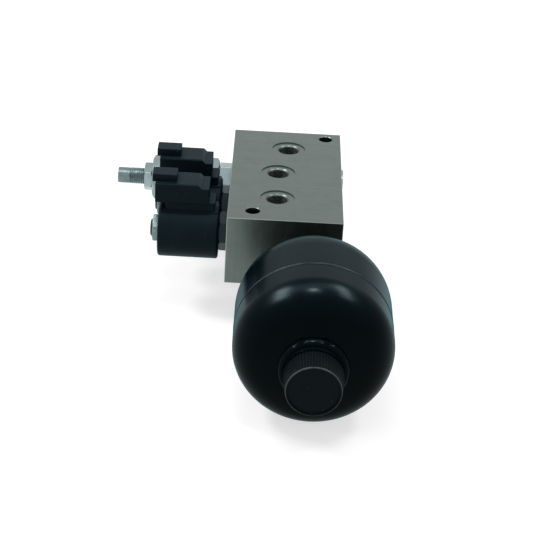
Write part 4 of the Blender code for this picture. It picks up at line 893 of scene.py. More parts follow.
def mesh_of(name: str, form: Form, axis: Axis) -> bpy.types.Mesh:
    """Put a form into a mesh at its place, close its seams and turn its faces outwards.

    Args:
        name: Name of the mesh.
        form: The form, in millimetres about the axis.
        axis: Where it stands.

    Returns:
        The mesh, in metres in the row frame.
    """
    mesh = bpy.data.meshes.new(name)
    count = len(form.faces)
    mesh.vertices.add(len(form.points))
    mesh.vertices.foreach_set("co", axis.place(form.points).astype(np.float32).ravel())
    mesh.loops.add(count * 4)
    mesh.loops.foreach_set("vertex_index", form.faces.astype(np.int32).ravel())
    mesh.polygons.add(count)
    mesh.polygons.foreach_set("loop_start", np.arange(0, count * 4, 4, dtype=np.int32))
    mesh.update(calc_edges=True)
    return cleaned(mesh)


def carved(name: str, base: Form, tools: Sequence[tuple[str, Form, Axis]], axis: Axis) -> bpy.types.Mesh:
    """Join forms to a base and cut others out of it, in order.

    Args:
        name: Name of the mesh.
        base: The form to start from.
        tools: For each step, UNION or DIFFERENCE, the tool's form and its axis.
        axis: Where the base stands.

    Returns:
        The finished mesh.
    """
    body = bpy.data.objects.new(name + "_blank", mesh_of(name + "_blank", base, axis))
    bpy.context.collection.objects.link(body)
    helpers = []
    for i, (operation, form, place) in enumerate(tools):
        tool = bpy.data.objects.new(f"{name}_tool_{i}", mesh_of(f"{name}_tool_{i}", form, place))
        bpy.context.collection.objects.link(tool)
        change = body.modifiers.new(tool.name, "BOOLEAN")
        change.operation, change.solver, change.object = operation, "EXACT", tool
        helpers.append(tool)
    bpy.context.view_layer.update()
    mesh = bpy.data.meshes.new_from_object(body.evaluated_get(bpy.context.evaluated_depsgraph_get()))
    mesh.name = name
    for old in (*helpers, body):
        data = old.data
        bpy.data.objects.remove(old)
        bpy.data.meshes.remove(data)
    return cleaned(mesh)


def finish_piece(name: str, mesh: bpy.types.Mesh, finish: Finish, body: str, node: str,
                 sharp: float = 38.0) -> bpy.types.Object:
    """Show a finished mesh in place of a CAD node.

    Args:
        name: Name of the piece.
        mesh: Its mesh, already in place.
        finish: What it is made of.
        body: The CAD body that it rides on.
        node: The CAD node that it stands for.
        sharp: Edges that turn more than this many degrees stay sharp.

    Returns:
        The piece.
    """
    mesh.shade_smooth()
    mesh.set_sharp_from_angle(angle=math.radians(sharp))
    mesh.materials.clear()
    mesh.materials.append(finish.material())
    piece = bpy.data.objects.new(name, mesh)
    bpy.context.collection.objects.link(piece)
    evened = piece.modifiers.new("even_normals", "WEIGHTED_NORMAL")
    evened.keep_sharp = True
    evened.weight = 90
    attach(piece, body)
    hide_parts(node)
    LOG.info("%s: %d faces, %s", name, len(mesh.polygons), finish.name)
    return piece


@dataclass(frozen=True)
class Kind:
    """A finish together with the record's slot for it."""

    finish: Finish
    slot: str


BLOCK_KIND = Kind(NICKEL, "block")
ZINC_KIND = Kind(ZINC, "zinc")
SCREW_KIND = Kind(SCREW_STEEL, "zinc")
DARK_KIND = Kind(DARK_STEEL, "dark_steel")
BRIGHT_KIND = Kind(BRIGHT_STEEL, "bright_steel")
SPRING_KIND = Kind(SPRING_STEEL, "spring_steel")
COIL_KIND = Kind(MOULDING, "moulding")
NYLON_KIND = Kind(NYLON, "nylon")
COPPER_KIND = Kind(COPPER, "copper")
TIN_KIND = Kind(TIN, "tin")
SEAL_KIND = Kind(RUBBER, "seal")
SHEET_KIND = Kind(RUBBER, "diaphragm")
PAINT_KIND = Kind(PAINT, "black_paint")
CAP_KIND = Kind(CAP_PLASTIC, "cap_plastic")


@dataclass
class Assembly:
    """What every sub-assembly shares: making a piece from a form or a carved mesh on its axis."""

    axis: Axis = WORLD
    body: str = "valve_block"

    def piece(self, node: str, form: Form, kind: Kind, body: Optional[str] = None,
              sharp: float = 38.0) -> bpy.types.Object:
        """Make a piece from one form and let it stand for the CAD node of its name.

        Args:
            node: The CAD node.
            form: Its shape about the assembly's axis.
            kind: Its finish and slot.
            body: The CAD body, if it isn't the block's.
            sharp: Edges that turn more than this stay sharp.

        Returns:
            The piece.
        """
        return finish_piece(node + "_piece", mesh_of(node + "_piece", form, self.axis), kind.finish,
                            body or self.body, node, sharp)

    def cut_piece(self, node: str, base: Form, tools: Sequence[tuple[str, Form, Axis]], kind: Kind,
                  body: Optional[str] = None) -> bpy.types.Object:
        """Make a piece by carving a base, and let it stand for the CAD node of its name.

        Args:
            node: The CAD node.
            base: The form to start from.
            tools: The carving steps.
            kind: Its finish and slot.
            body: The CAD body, if it isn't the block's.

        Returns:
            The piece.
        """
        mesh = carved(node + "_piece", base, tools, self.axis)
        return finish_piece(node + "_piece", mesh, kind.finish, body or self.body, node)


@dataclass
class ManifoldBlock(Assembly):
    """The ported block: bevelled edges, threaded ports, valve cavities, galleries and screw holes."""

    width: float = 90.0
    depth: float = 168.0
    height: float = 57.0
    edge: float = 0.55
    valve_height: float = 28.4
    port_radius: float = 8.4
    port_depth: float = 15.0
    port_pitch: float = 1.34
    port_thread: float = 0.62
    port_chamfer: float = 0.9
    drill_radius: float = 4.5
    spot_radius: float = 13.7
    spot_depth: float = 0.8
    screw_radius: float = 5.6
    screw_chamfer: float = 0.5
    # radius and floor of each step of the bores for the valves, the accumulator's stem and the check valve
    valve_steps: tuple[tuple[float, float], ...] = ((11.3, -16.3), (9.3, -30.3), (8.3, -45.3))
    stem_steps: tuple[tuple[float, float], ...] = ((11.0, -2.0), (9.3, -14.3))
    stem_drill: float = 5.0
    check_steps: tuple[tuple[float, float], ...] = ((7.8, -31.0),)
    check_drill: float = 3.2
    ports: tuple[tuple[float, float], ...] = ((-6.7, -44.8), (-6.7, 2.5), (1.2, 49.3))
    screw_holes: tuple[tuple[float, float], ...] = ((-25.5, -69.2), (32.3, 73.2))
    tank_port: tuple[float, float] = (-21.0, 17.0)
    accumulator_x: float = 23.6
    past: float = 1.3  # how far a drilling runs past the middle of the one that it meets

    def line_port(self, drill_end: float) -> Form:
        """Make the cutter of a threaded line port.

        Below the spot face and the chamfer its radius is the port's less the thread's depth times the
        thread wave, whose phase is the height over the pitch less the angle over a full turn.

        Args:
            drill_end: Where the drilling below the thread ends.

        Returns:
            The cutter, along its own axis with the block's face at 0.
        """
        columns = 72
        angles = even_turn(columns)
        floor = -self.spot_depth
        top: list[Row] = [(0, PAST_FACE), (self.spot_radius, PAST_FACE), (self.spot_radius, floor),
                          (self.port_radius + self.port_chamfer, floor), (self.port_radius, floor - self.port_chamfer)]
        heights = np.linspace(floor - self.port_chamfer - 0.2, -self.port_depth + 0.8, 90)
        wall = threaded(self.port_radius, self.port_thread, self.port_pitch, heights, angles)
        bottom: list[Row] = [(self.port_radius, -self.port_depth), (self.drill_radius, -self.port_depth - 0.6),
                             (self.drill_radius, drill_end), (0, drill_end)]
        profile = np.concatenate([stack(top, columns), wall, stack(bottom, columns)], axis=1)
        return spun(profile, angles)

    def build(self, valves: Sequence[Axis], accumulator: Axis, check: Axis) -> None:
        """Carve the block.

        Args:
            valves: Axes of the front, rear and relief valves.
            accumulator: The accumulator's axis.
            check: The check valve's axis.
        """
        half, past = self.width / 2, self.past
        base = rounded_bar(half, -self.depth / 2, self.depth / 2, self.edge, 0, self.height, self.edge, 2)
        to_gallery, to_pump = -(half + self.accumulator_x + past), -(half + self.ports[2][0] + past)
        cuts = [(hole_cutter([*self.valve_steps, (self.drill_radius, end)]), axis)
                for axis, end in zip(valves, (to_gallery, to_gallery, to_pump))]
        cuts += [(self.line_port(self.valve_height - self.height - past), Axis((x, y, self.height)))
                 for x, y in self.ports]
        tank = Axis((self.tank_port[0], self.depth / 2, self.tank_port[1]), (1, 0, 0), (0, 0, -1), (0, 1, 0))
        cuts.append((self.line_port(valves[0].origin[1] - self.depth / 2 - past), tank))
        wide = self.screw_radius + self.screw_chamfer
        rows = [(0, PAST_FACE), (wide, PAST_FACE), (wide, 0), (self.screw_radius, -self.screw_chamfer),
                (self.screw_radius, -self.height + self.screw_chamfer), (wide, -self.height),
                (wide, -self.height - PAST_FACE), (0, -self.height - PAST_FACE)]
        cuts += [(turned(rows, 64, 0), Axis((x, y, self.height))) for x, y in self.screw_holes]
        gallery_end = -(self.ports[2][1] + self.depth / 2 + past)
        cuts.append((hole_cutter([*self.stem_steps, (self.stem_drill, gallery_end)]), accumulator))
        pump = -(half - self.ports[2][0] + past)
        cuts.append((hole_cutter([*self.check_steps, (self.check_drill, pump)]), check))
        self.cut_piece("manifold_block", base, [("DIFFERENCE", form, axis) for form, axis in cuts], BLOCK_KIND)


@dataclass
class ScrewInValve(Assembly):
    """What the solenoid cartridges and the relief valve's body share: a shank with two sealed lands."""

    side: str = "front"
    thread: float = 11.0
    land: float = 9.0
    nose: float = 8.0
    shank_end: float = -45.0
    tank_window: float = -24.0
    work_window: float = -38.0
    window: float = 1.9
    nose_top: float = -30.0
    land_top: float = -16.0
    groove: float = 1.6
    inner_groove: tuple[float, float] = (-25.2, -23.0)
    outer_groove: tuple[float, float] = (-3.2, -1.0)
    pitch: float = 1.5

    def shank(self) -> list[Row]:
        """Return the outside of the shank, from its nose up to the hexagon's underside.

        Returns:
            The rows, each a radius and a height.
        """
        rows: list[Row] = [(self.nose, self.shank_end), (self.nose, self.nose_top)]
        for radius, low, (bottom, top), high in ((self.land, self.nose_top, self.inner_groove, self.land_top),
                                                 (self.thread, self.land_top, self.outer_groove, GAP)):
            sunk = radius - self.groove
            rows += [(radius, low), (radius, bottom), (sunk, bottom), (sunk, top), (radius, top), (radius, high)]
        return rows

    def windows(self, heights: Sequence[float]) -> list[tuple[str, Form, Axis]]:
        """Return the cutters of the round windows across the shank at some heights.

        Args:
            heights: Height of each window's middle.

        Returns:
            The carving steps.
        """
        reach = self.thread + PAST_FACE
        hole = hole_cutter([(self.window, reach)], -reach, 24)
        return [("DIFFERENCE", hole.reordered((0, 2, 1)).shifted((0, 0, height)), self.axis) for height in heights]

    def seals(self) -> None:
        """Lay a round ring into each groove."""
        for name, radius, groove in (("outer", self.thread, self.outer_groove),
                                     ("inner", self.land, self.inner_groove)):
            middle = radius - self.groove + GAP + SEAL_SECTION
            self.piece(f"{self.side}_{name}_seal", torus(middle, sum(groove) / 2, SEAL_SECTION), SEAL_KIND)


@dataclass(frozen=True)
class CoilMoulding:
    """The moulded shape of a coil, from its drum to the latch hood over the connector's mouth."""

    radius: float = 22.0
    edge: float = 1.2
    skin: float = 3.0
    end_wall: float = 2.2
    pad_half_width: float = 10.3
    pad_rise: float = 21.0
    pad_start: float = 1.0
    pad_setback: float = 4.0
    tower_half_width: float = 9.2
    tower_start: float = 3.4
    tower_setback: float = 5.6
    half_width: float = 12.15
    bottom: float = 27.9
    top: float = 44.3
    corner: float = 1.4
    overhang: float = 2.8
    length: float = 41.9
    wall: float = 1.8
    mouth_depth: float = 18.0
    shelf_drop: float = 3.0
    shelf_length: float = 5.4
    shelf_slope: float = 2.9
    hood_half_width: float = 7.0
    hood_rise: float = 5.6
    hood_length: float = 19.1
    hood_overhang: float = 2.5
    slot_half_width: float = 4.6
    slot_height: float = 2.6
    pin_radius: float = 0.75
    pin_spread: float = 4.5
    pin_length: float = 16.0
    pin_root: float = 3.0

    @property
    def middle(self) -> float:
        """Return the height of the connector's middle above the coil's axis."""
        return (self.bottom + self.top) / 2

    def drum(self, bore: float, low: float, high: float) -> Form:
        """Return the drum as a hollow ring.

        Args:
            bore: Radius of the bore for the tube.
            low: The drum's end at the block.
            high: Its outer end.

        Returns:
            The drum about the valve's axis.
        """
        radius, edge, inner = self.radius, self.edge, self.radius - self.skin
        return ring([(bore, low), (radius - edge, low), (radius, low + edge), (radius, high - edge),
                     (radius - edge, high), (bore, high), (bore, high - self.end_wall),
                     (inner, high - self.end_wall), (inner, low + self.end_wall), (bore, low + self.end_wall)],
                    144, 0.5, 4)

    def added(self, low: float, high: float) -> list[Form]:
        """Return what is joined to the drum: pad, tower and connector body, which share rounded edges.

        Args:
            low: The drum's end at the block.
            high: Its outer end.

        Returns:
            The three bars.
        """
        root = math.sqrt(self.radius ** 2 - self.pad_half_width ** 2) - GAP
        mouth = high + self.overhang
        pad = rounded_bar(self.pad_half_width, low + self.pad_start, high - self.pad_setback, self.corner,
                          root, self.pad_rise, 0.8).reordered((2, 0, 1))
        tower = rounded_bar(self.tower_half_width, low + self.tower_start, high - self.tower_setback, 0.8,
                            root + 0.2, self.bottom + 0.4, 0.3).reordered((2, 0, 1))
        body = rounded_bar(self.half_width, self.bottom, self.top, self.corner, mouth - self.length, mouth,
                           0.5).reordered((1, 0, 2))
        return [pad, tower, body]

    def shelf(self, high: float) -> Form:
        """Return the cutter of the lower shelf at the connector's back end.

        Args:
            high: The drum's outer end.

        Returns:
            The cutter.
        """
        heel = high + self.overhang - self.length
        floor, above = self.top - self.shelf_drop, self.top + 1.7
        slope, slope_end = heel + self.shelf_length, heel + self.shelf_length + self.shelf_slope
        reach = self.half_width + 2.0
        return prism([(above, heel - PAST_FACE), (floor, heel - PAST_FACE), (floor, slope),
                      (self.top, slope_end), (above, slope_end)], -reach, reach).reordered((0, 2, 1))

    def hood(self, high: float) -> Form:
        """Return the latch hood over the mouth."""
        front = high + self.overhang + self.hood_overhang
        return rounded_bar(self.hood_half_width, self.top - self.wall / 2, self.top + self.hood_rise, 0.7,
                           front - self.hood_length, front, 0.35).reordered((1, 0, 2))

    def hollows(self, high: float) -> list[Form]:
        """Return the cutters of the hood's slot, of the mouth and of the sockets of the two pins.

        Args:
            high: The drum's outer end.

        Returns:
            The four cutters.
        """
        mouth = high + self.overhang
        front = mouth + self.hood_overhang
        slot = rounded_bar(self.slot_half_width, self.top + GAP, self.top + GAP + self.slot_height, 0.4,
                           front - self.hood_length - PAST_FACE, front + PAST_FACE, 0.1).reordered((1, 0, 2))
        hollow = rounded_bar(self.half_width - self.wall, self.bottom + self.wall, self.top - self.wall, 1.0,
                             mouth - self.mouth_depth, mouth + 2.0, 0.3).reordered((1, 0, 2))
        floor = mouth - self.mouth_depth
        socket = hole_cutter([(self.pin_radius + GAP, floor + PAST_FACE)], floor - self.pin_root, 24)
        return [slot, hollow] + [socket.shifted((self.middle, side * self.pin_spread, 0)) for side in (-1, 1)]


@dataclass
class SolenoidValve(ScrewInValve):
    """One solenoid valve: cartridge, tube, moving core, coil with its connector, and coil nut."""

    hexagon: Hexagon = Hexagon(27.0, 20.6)
    nut: Hexagon = Hexagon(21.0, -1.5)
    moulding: CoilMoulding = CoilMoulding()
    hex_top: float = 6.3
    coil_start: float = 6.6
    coil_end: float = 54.1
    nut_low: float = 54.4
    nut_high: float = 58.8
    tube: float = 7.0
    tube_wall: float = 0.8
    tube_end_wall: float = 3.0
    tube_low: float = 2.3
    tube_high: float = 60.6
    pole_length: float = 25.0
    pole_bore: float = 1.8
    pin_radius: float = 1.5
    oil_groove: tuple[float, float] = (1.5, 0.3)  # half width and depth
    spool_ends: tuple[float, float] = (-29.7, -2.7)
    spool_lands: tuple[float, float] = (7.8, 6.0)  # lengths of the inner and the outer land
    spool_radius: float = 3.7
    spool_waist: float = 2.6
    spool_bore: float = 1.3
    flange: float = 1.5
    wire_pitch: float = 0.9
    travel: float = 2.5
    core: str = "front_core"

    @property
    def core_radius(self) -> float:
        """Return the radius of the pole piece and the armature inside the tube."""
        return self.tube - self.tube_wall - GAP

    def cartridge(self) -> None:
        """Make the cartridge: a ring whose outside ends in the hexagon and whose inside is the bore."""
        angles = self.hexagon.angles()
        rows = self.shank()
        rows.append((self.hexagon.radius(angles), GAP))
        rows += self.hexagon.end(self.hex_top, 1.2, 1.0, angles)
        socket, floor = self.tube + GAP, self.tube_low - GAP
        rows += [(socket, self.hex_top), (socket, floor), (4.0, floor), (4.0, -42.5), (2.4, -42.5),
                 (2.4, self.shank_end)]
        self.cut_piece(f"{self.side}_cartridge", ring(rows, angles, 0.22),
                       self.windows((self.tank_window, self.work_window)), DARK_KIND)

    def tube_and_pole(self) -> None:
        """Make the guide tube with its rounded closed end, and the fixed pole piece."""
        inside, floor = self.tube - self.tube_wall, self.tube_high - self.tube_end_wall
        self.piece(f"{self.side}_guide_tube", turned([
            (0, floor), (inside, floor), (inside, self.tube_low), (self.tube, self.tube_low),
            (self.tube, self.tube_high - 1.0), (self.tube - 1.0, self.tube_high), (1.5, self.tube_high),
            (1.2, self.tube_high - 0.5), (0, self.tube_high - 0.6)], edge=0.5, steps=3), DARK_KIND)
        low, core = self.tube_low + GAP, self.core_radius
        high = low + self.pole_length
        self.piece(f"{self.side}_pole_piece", ring([(self.pole_bore, low), (core, low), (core, high),
                                                    (self.pole_bore, high)], 72), BRIGHT_KIND)

    def armature(self) -> None:
        """Make the armature with its oil groove, and the pin that pushes the spool."""
        low = self.tube_low + 2 * GAP + self.pole_length + self.travel
        high = self.tube_high - self.tube_end_wall - GAP
        core, middle = self.core_radius, (low + high) / 2
        half, depth = self.oil_groove
        self.piece(f"{self.side}_armature", turned([
            (0, low), (core, low), (core, middle - half - depth), (core - depth, middle - half),
            (core - depth, middle + half), (core, middle + half + depth), (core, high), (0, high)], 72),
            BRIGHT_KIND, self.core)
        pin_low, pin_high = self.spool_ends[1] + GAP, low - GAP
        self.piece(f"{self.side}_push_pin", turned([(0, pin_low), (self.pin_radius, pin_low),
                                                    (self.pin_radius, pin_high), (0, pin_high)], 40, 0.3),
                   BRIGHT_KIND, self.core)

    def spool(self) -> None:
        """Make the spool, with a waist between its lands and a cross bore, and its return spring."""
        (low, high), land, waist, bore = self.spool_ends, self.spool_radius, self.spool_waist, self.spool_bore
        waist_low, waist_high = low + self.spool_lands[0], high - self.spool_lands[1]
        top = waist_low + 2 * waist
        near, far = ([(land, start), (land - 0.25, start + 0.1), (land - 0.25, start + 0.6), (land, start + 0.7)]
                     for start in (low + 2.4, high - 3.0))
        spool = turned([(0, top), (bore, top), (bore, low), (land, low), *near, (land, waist_low), (waist, waist_low),
                        (waist, waist_high), (land, waist_high), *far, (land, high), (0, high)], 64, 0.12)
        hole = hole_cutter([(bore, 5)], -5, 20).reordered((0, 2, 1))
        self.cut_piece(f"{self.side}_spool", spool,
                       [("DIFFERENCE", hole.shifted((0, 0, waist_low + waist)), self.axis)], BRIGHT_KIND, self.core)
        spring = self.piece(f"{self.side}_return_spring", helix_wire(3.05, 0.35, -42.2, -30.0, 5), SPRING_KIND)
        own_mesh(spring)

    def coil(self) -> None:
        """Make the moulding: pad, tower, connector and hood joined to the drum, then the hollows cut."""
        shape, low, high = self.moulding, self.coil_start, self.coil_end
        tools = [("UNION", form, self.axis) for form in shape.added(low, high)]
        tools.append(("DIFFERENCE", shape.shelf(high), self.axis))
        tools.append(("UNION", shape.hood(high), self.axis))
        tools += [("DIFFERENCE", form, self.axis) for form in shape.hollows(high)]
        self.cut_piece(f"{self.side}_coil", shape.drum(self.tube + GAP, low, high), tools, COIL_KIND)

    def inside(self) -> None:
        """Make the bobbin, the winding with its wires in view, the flux sleeve and the two contacts."""
        side, shape = self.side, self.moulding
        low = self.coil_start + shape.end_wall + GAP
        high = self.coil_end - shape.end_wall - GAP
        sleeve = shape.radius - shape.skin - GAP
        flange = sleeve - 2.0 - GAP
        bore = self.tube + GAP
        self.piece(f"{side}_coil_bobbin", ring([
            (bore, low), (flange, low), (flange, low + self.flange), (bore + 1.0, low + self.flange),
            (bore + 1.0, high - self.flange), (flange, high - self.flange), (flange, high), (bore, high)], 72),
            NYLON_KIND)
        wind_low, wind_high = low + self.flange + GAP, high - self.flange - GAP
        inner, outer = bore + 1.0 + GAP, bore + 8.0 + GAP
        heights = np.linspace(wind_low, wind_high, 240)
        wires = outer - 0.3 * np.abs(np.cos(math.pi * (heights - wind_low) / self.wire_pitch))
        rows = [(inner, wind_low), *zip(wires, heights), (inner, wind_high)]
        self.piece(f"{side}_coil_winding", ring(rows, 72, 0), COPPER_KIND)
        self.piece(f"{side}_flux_sleeve", ring([(sleeve - 2.0, low), (sleeve, low), (sleeve, high),
                                                (sleeve - 2.0, high)], 96), BRIGHT_KIND)
        root = self.coil_end + shape.overhang - shape.mouth_depth - shape.pin_root + GAP
        tip = root - GAP + shape.pin_length
        for name, way in (("near", -1), ("far", 1)):
            pin = turned([(0, root), (shape.pin_radius, root), (shape.pin_radius, tip - 1.0), (0.4, tip), (0, tip)],
                         28, 0.1)
            self.piece(f"{side}_{name}_pin", pin.shifted((shape.middle, way * shape.pin_spread, 0)), TIN_KIND)

    def coil_nut(self) -> None:
        """Make the nut that holds the coil: a hexagon with one large chamfer."""
        angles = self.nut.angles()
        bore = self.tube + GAP
        rows: list[Row] = [(bore, self.nut_low), (self.nut.radius(angles), self.nut_low)]
        rows += self.nut.end(self.nut_high, 2.0, 1.0, angles)
        rows.append((bore, self.nut_high))
        self.piece(f"{self.side}_coil_nut", ring(rows, angles), SCREW_KIND)

    def build(self) -> None:
        """Make every piece of the valve."""
        for step in (self.cartridge, self.seals, self.tube_and_pole, self.armature, self.spool, self.coil,
                     self.inside, self.coil_nut):
            step()


@dataclass
class ReliefValve(ScrewInValve):
    """The adjustable relief valve: body, poppet, spring, housing, adjusting screw and jam nut."""

    side: str = "relief"
    hexagon: Hexagon = Hexagon(27.0, 40.6, 0.5)
    housing_hexagon: Hexagon = Hexagon(32.0, 23.6, 0.6)
    nut: Hexagon = Hexagon(21.0, 8.6, 0.4)
    hex_top: float = 10.3
    neck: float = 9.2
    neck_top: float = 19.3
    housing_low: float = 10.6
    housing_high: float = 66.6
    end_wall: float = 12.0
    nut_low: float = 66.9
    nut_high: float = 73.3
    screw: float = 7.0
    screw_thread: float = 0.5
    screw_low: float = 30.2
    thread_end: float = 86.1
    screw_end: float = 95.6
    tip: float = 6.6
    socket: Hexagon = Hexagon(6.0, 0.0, 0.12, 5)
    socket_depth: float = 6.0
    bore: float = 7.3
    spring_room: float = 9.5
    poppet_ends: tuple[float, float] = (-40.7, -22.7)
    poppet_radius: float = 4.0
    seat_low: float = 21.9

    def cartridge(self) -> None:
        """Make the body: shank, hexagon and the neck that the housing turns on."""
        angles = self.hexagon.angles()
        radius = self.hexagon.radius(angles)
        rows = self.shank()
        rows += [(radius, GAP), (radius, self.hex_top), (self.neck, self.hex_top), (self.neck, self.neck_top),
                 (5.6, self.neck_top), (5.6, -41.0), (2.6, -41.0), (2.6, self.shank_end)]
        self.cut_piece("relief_cartridge", ring(rows, angles, 0.3), self.windows((self.tank_window,)), ZINC_KIND)

    def housing(self) -> None:
        """Make the hexagonal spring housing, chamfered all round at both ends."""
        angles = self.housing_hexagon.angles()
        lower = self.housing_hexagon.end(self.housing_low, 3.0, -1.0, angles)
        upper = self.housing_hexagon.end(self.housing_high, 3.0, 1.0, angles)
        room, floor = self.spring_room, self.housing_high - self.end_wall
        rows: list[Row] = [(room, self.housing_low), lower[1], lower[0], upper[0], upper[1],
                           (self.bore, self.housing_high), (self.bore, floor), (room, floor)]
        self.piece("relief_housing", ring(rows, angles, 0.45, 3), ZINC_KIND)

    def adjuster(self) -> None:
        """Make the adjusting screw: its radius is the screw's less the depth of the thread wave."""
        angles = np.radians(np.arange(0, 360, 4.0))
        columns = len(angles)
        low, end = self.screw_low, self.screw_end
        wall = threaded(self.screw, self.screw_thread, self.pitch,
                        np.linspace(low + 1.0, self.thread_end - 1.0, 330), angles)
        head = stack([(0, low), (self.screw - 0.9, low), (self.screw - 0.7, low + 0.7)], columns)
        tail = softened(stack([(self.screw - 0.6, self.thread_end - 0.7), (self.tip, self.thread_end),
                               (self.tip, end - 0.5), (self.tip - 0.5, end), (0, end)], columns), 0.15)
        body = spun(np.concatenate([head, wall, tail], axis=1), angles)
        self.cut_piece("adjusting_screw", body, [("DIFFERENCE", self.key_socket(), self.axis)], SCREW_KIND,
                       "adjuster_body")

    def key_socket(self) -> Form:
        """Return the cutter of the hexagonal key socket with its drilled floor.

        Returns:
            The cutter.
        """
        angles = self.socket.angles()
        radius = self.socket.radius(angles)
        floor = self.screw_end - self.socket_depth
        rows: list[Row] = [(0, floor - 0.9), (2.4, floor), (radius, floor), (radius, self.screw_end - 0.3),
                           (radius + 0.35, self.screw_end + 0.05), (radius + 0.35, self.screw_end + 1),
                           (0, self.screw_end + 1)]
        return turned(rows, angles, 0)

    def jam_nut(self) -> None:
        """Make the jam nut, chamfered on both sides."""
        angles = self.nut.angles()
        lower = self.nut.end(self.nut_low, 1.2, -1.0, angles)
        upper = self.nut.end(self.nut_high, 1.2, 1.0, angles)
        bore, wide = self.bore, self.bore + 0.4
        rows: list[Row] = [(bore, self.nut_low + 0.3), (wide, self.nut_low), lower[1], lower[0], upper[0], upper[1],
                           (wide, self.nut_high), (bore, self.nut_high - 0.3)]
        self.piece("jam_nut", ring(rows, angles, 0.18), ZINC_KIND, "jam_nut_body")

    def inside(self) -> None:
        """Make the poppet, the main spring and the spring seat."""
        (low, high), wide, peg = self.poppet_ends, self.poppet_radius, 2.6
        self.piece("relief_poppet", turned([(0, low), (peg, low), (wide, low + 4.0), (wide, high), (peg, high),
                                            (peg, high + 4), (0, high + 4)], 64), BRIGHT_KIND, "relief_poppet_body")
        low, step = self.seat_low, self.seat_low + 4.0
        top, seat = step + 4.0, self.spring_room - GAP
        spring = self.piece("relief_spring", helix_wire(3.7, 0.8, high + GAP, step - GAP, 12), SPRING_KIND)
        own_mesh(spring)
        self.piece("relief_spring_seat", turned([(0, low), (peg, low), (peg, step), (seat, step), (seat, top),
                                                 (0, top)], 72), BRIGHT_KIND, "spring_seat_body")

    def build(self) -> None:
        """Make every piece of the valve."""
        for step in (self.cartridge, self.seals, self.inside, self.housing, self.adjuster, self.jam_nut):
            step()


@dataclass
class CheckValve(Assembly):
    """The check valve behind its plug in the block's right face."""

    plug: float = 7.5
    head: float = 11.0
    head_top: float = 3.3
    plug_low: float = -12.0
    socket: Hexagon = Hexagon(8.0, 0.0, 0.15, 5)
    socket_depth: float = 6.0
    poppet_ends: tuple[float, float] = (-30.7, -22.7)
    poppet_radius: float = 5.0

    def build(self) -> None:
        """Make the poppet, its spring and the plug with its key socket."""
        (low, high), wide = self.poppet_ends, self.poppet_radius
        self.piece("check_poppet", turned([(0, low), (wide - 1.8, low), (wide, low + 1.8), (wide, high), (0, high)],
                                          64), BRIGHT_KIND, "check_poppet_body")
        spring = self.piece("check_spring", helix_wire(4.55, 0.45, high + GAP, self.plug_low - GAP, 4), SPRING_KIND)
        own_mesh(spring)
        angles = self.socket.angles()
        radius = self.socket.radius(angles)
        head, top, floor = self.head, self.head_top, self.head_top - self.socket_depth
        rows: list[Row] = [(0, self.plug_low), (self.plug, self.plug_low), (self.plug, GAP), (head, GAP),
                           (head, top - 0.5), (head - 0.5, top), (radius + 0.3, top), (radius, top - 0.3),
                           (radius, floor), (0, floor - 0.5)]
        self.piece("check_plug", turned(rows, angles, 0.15), ZINC_KIND)


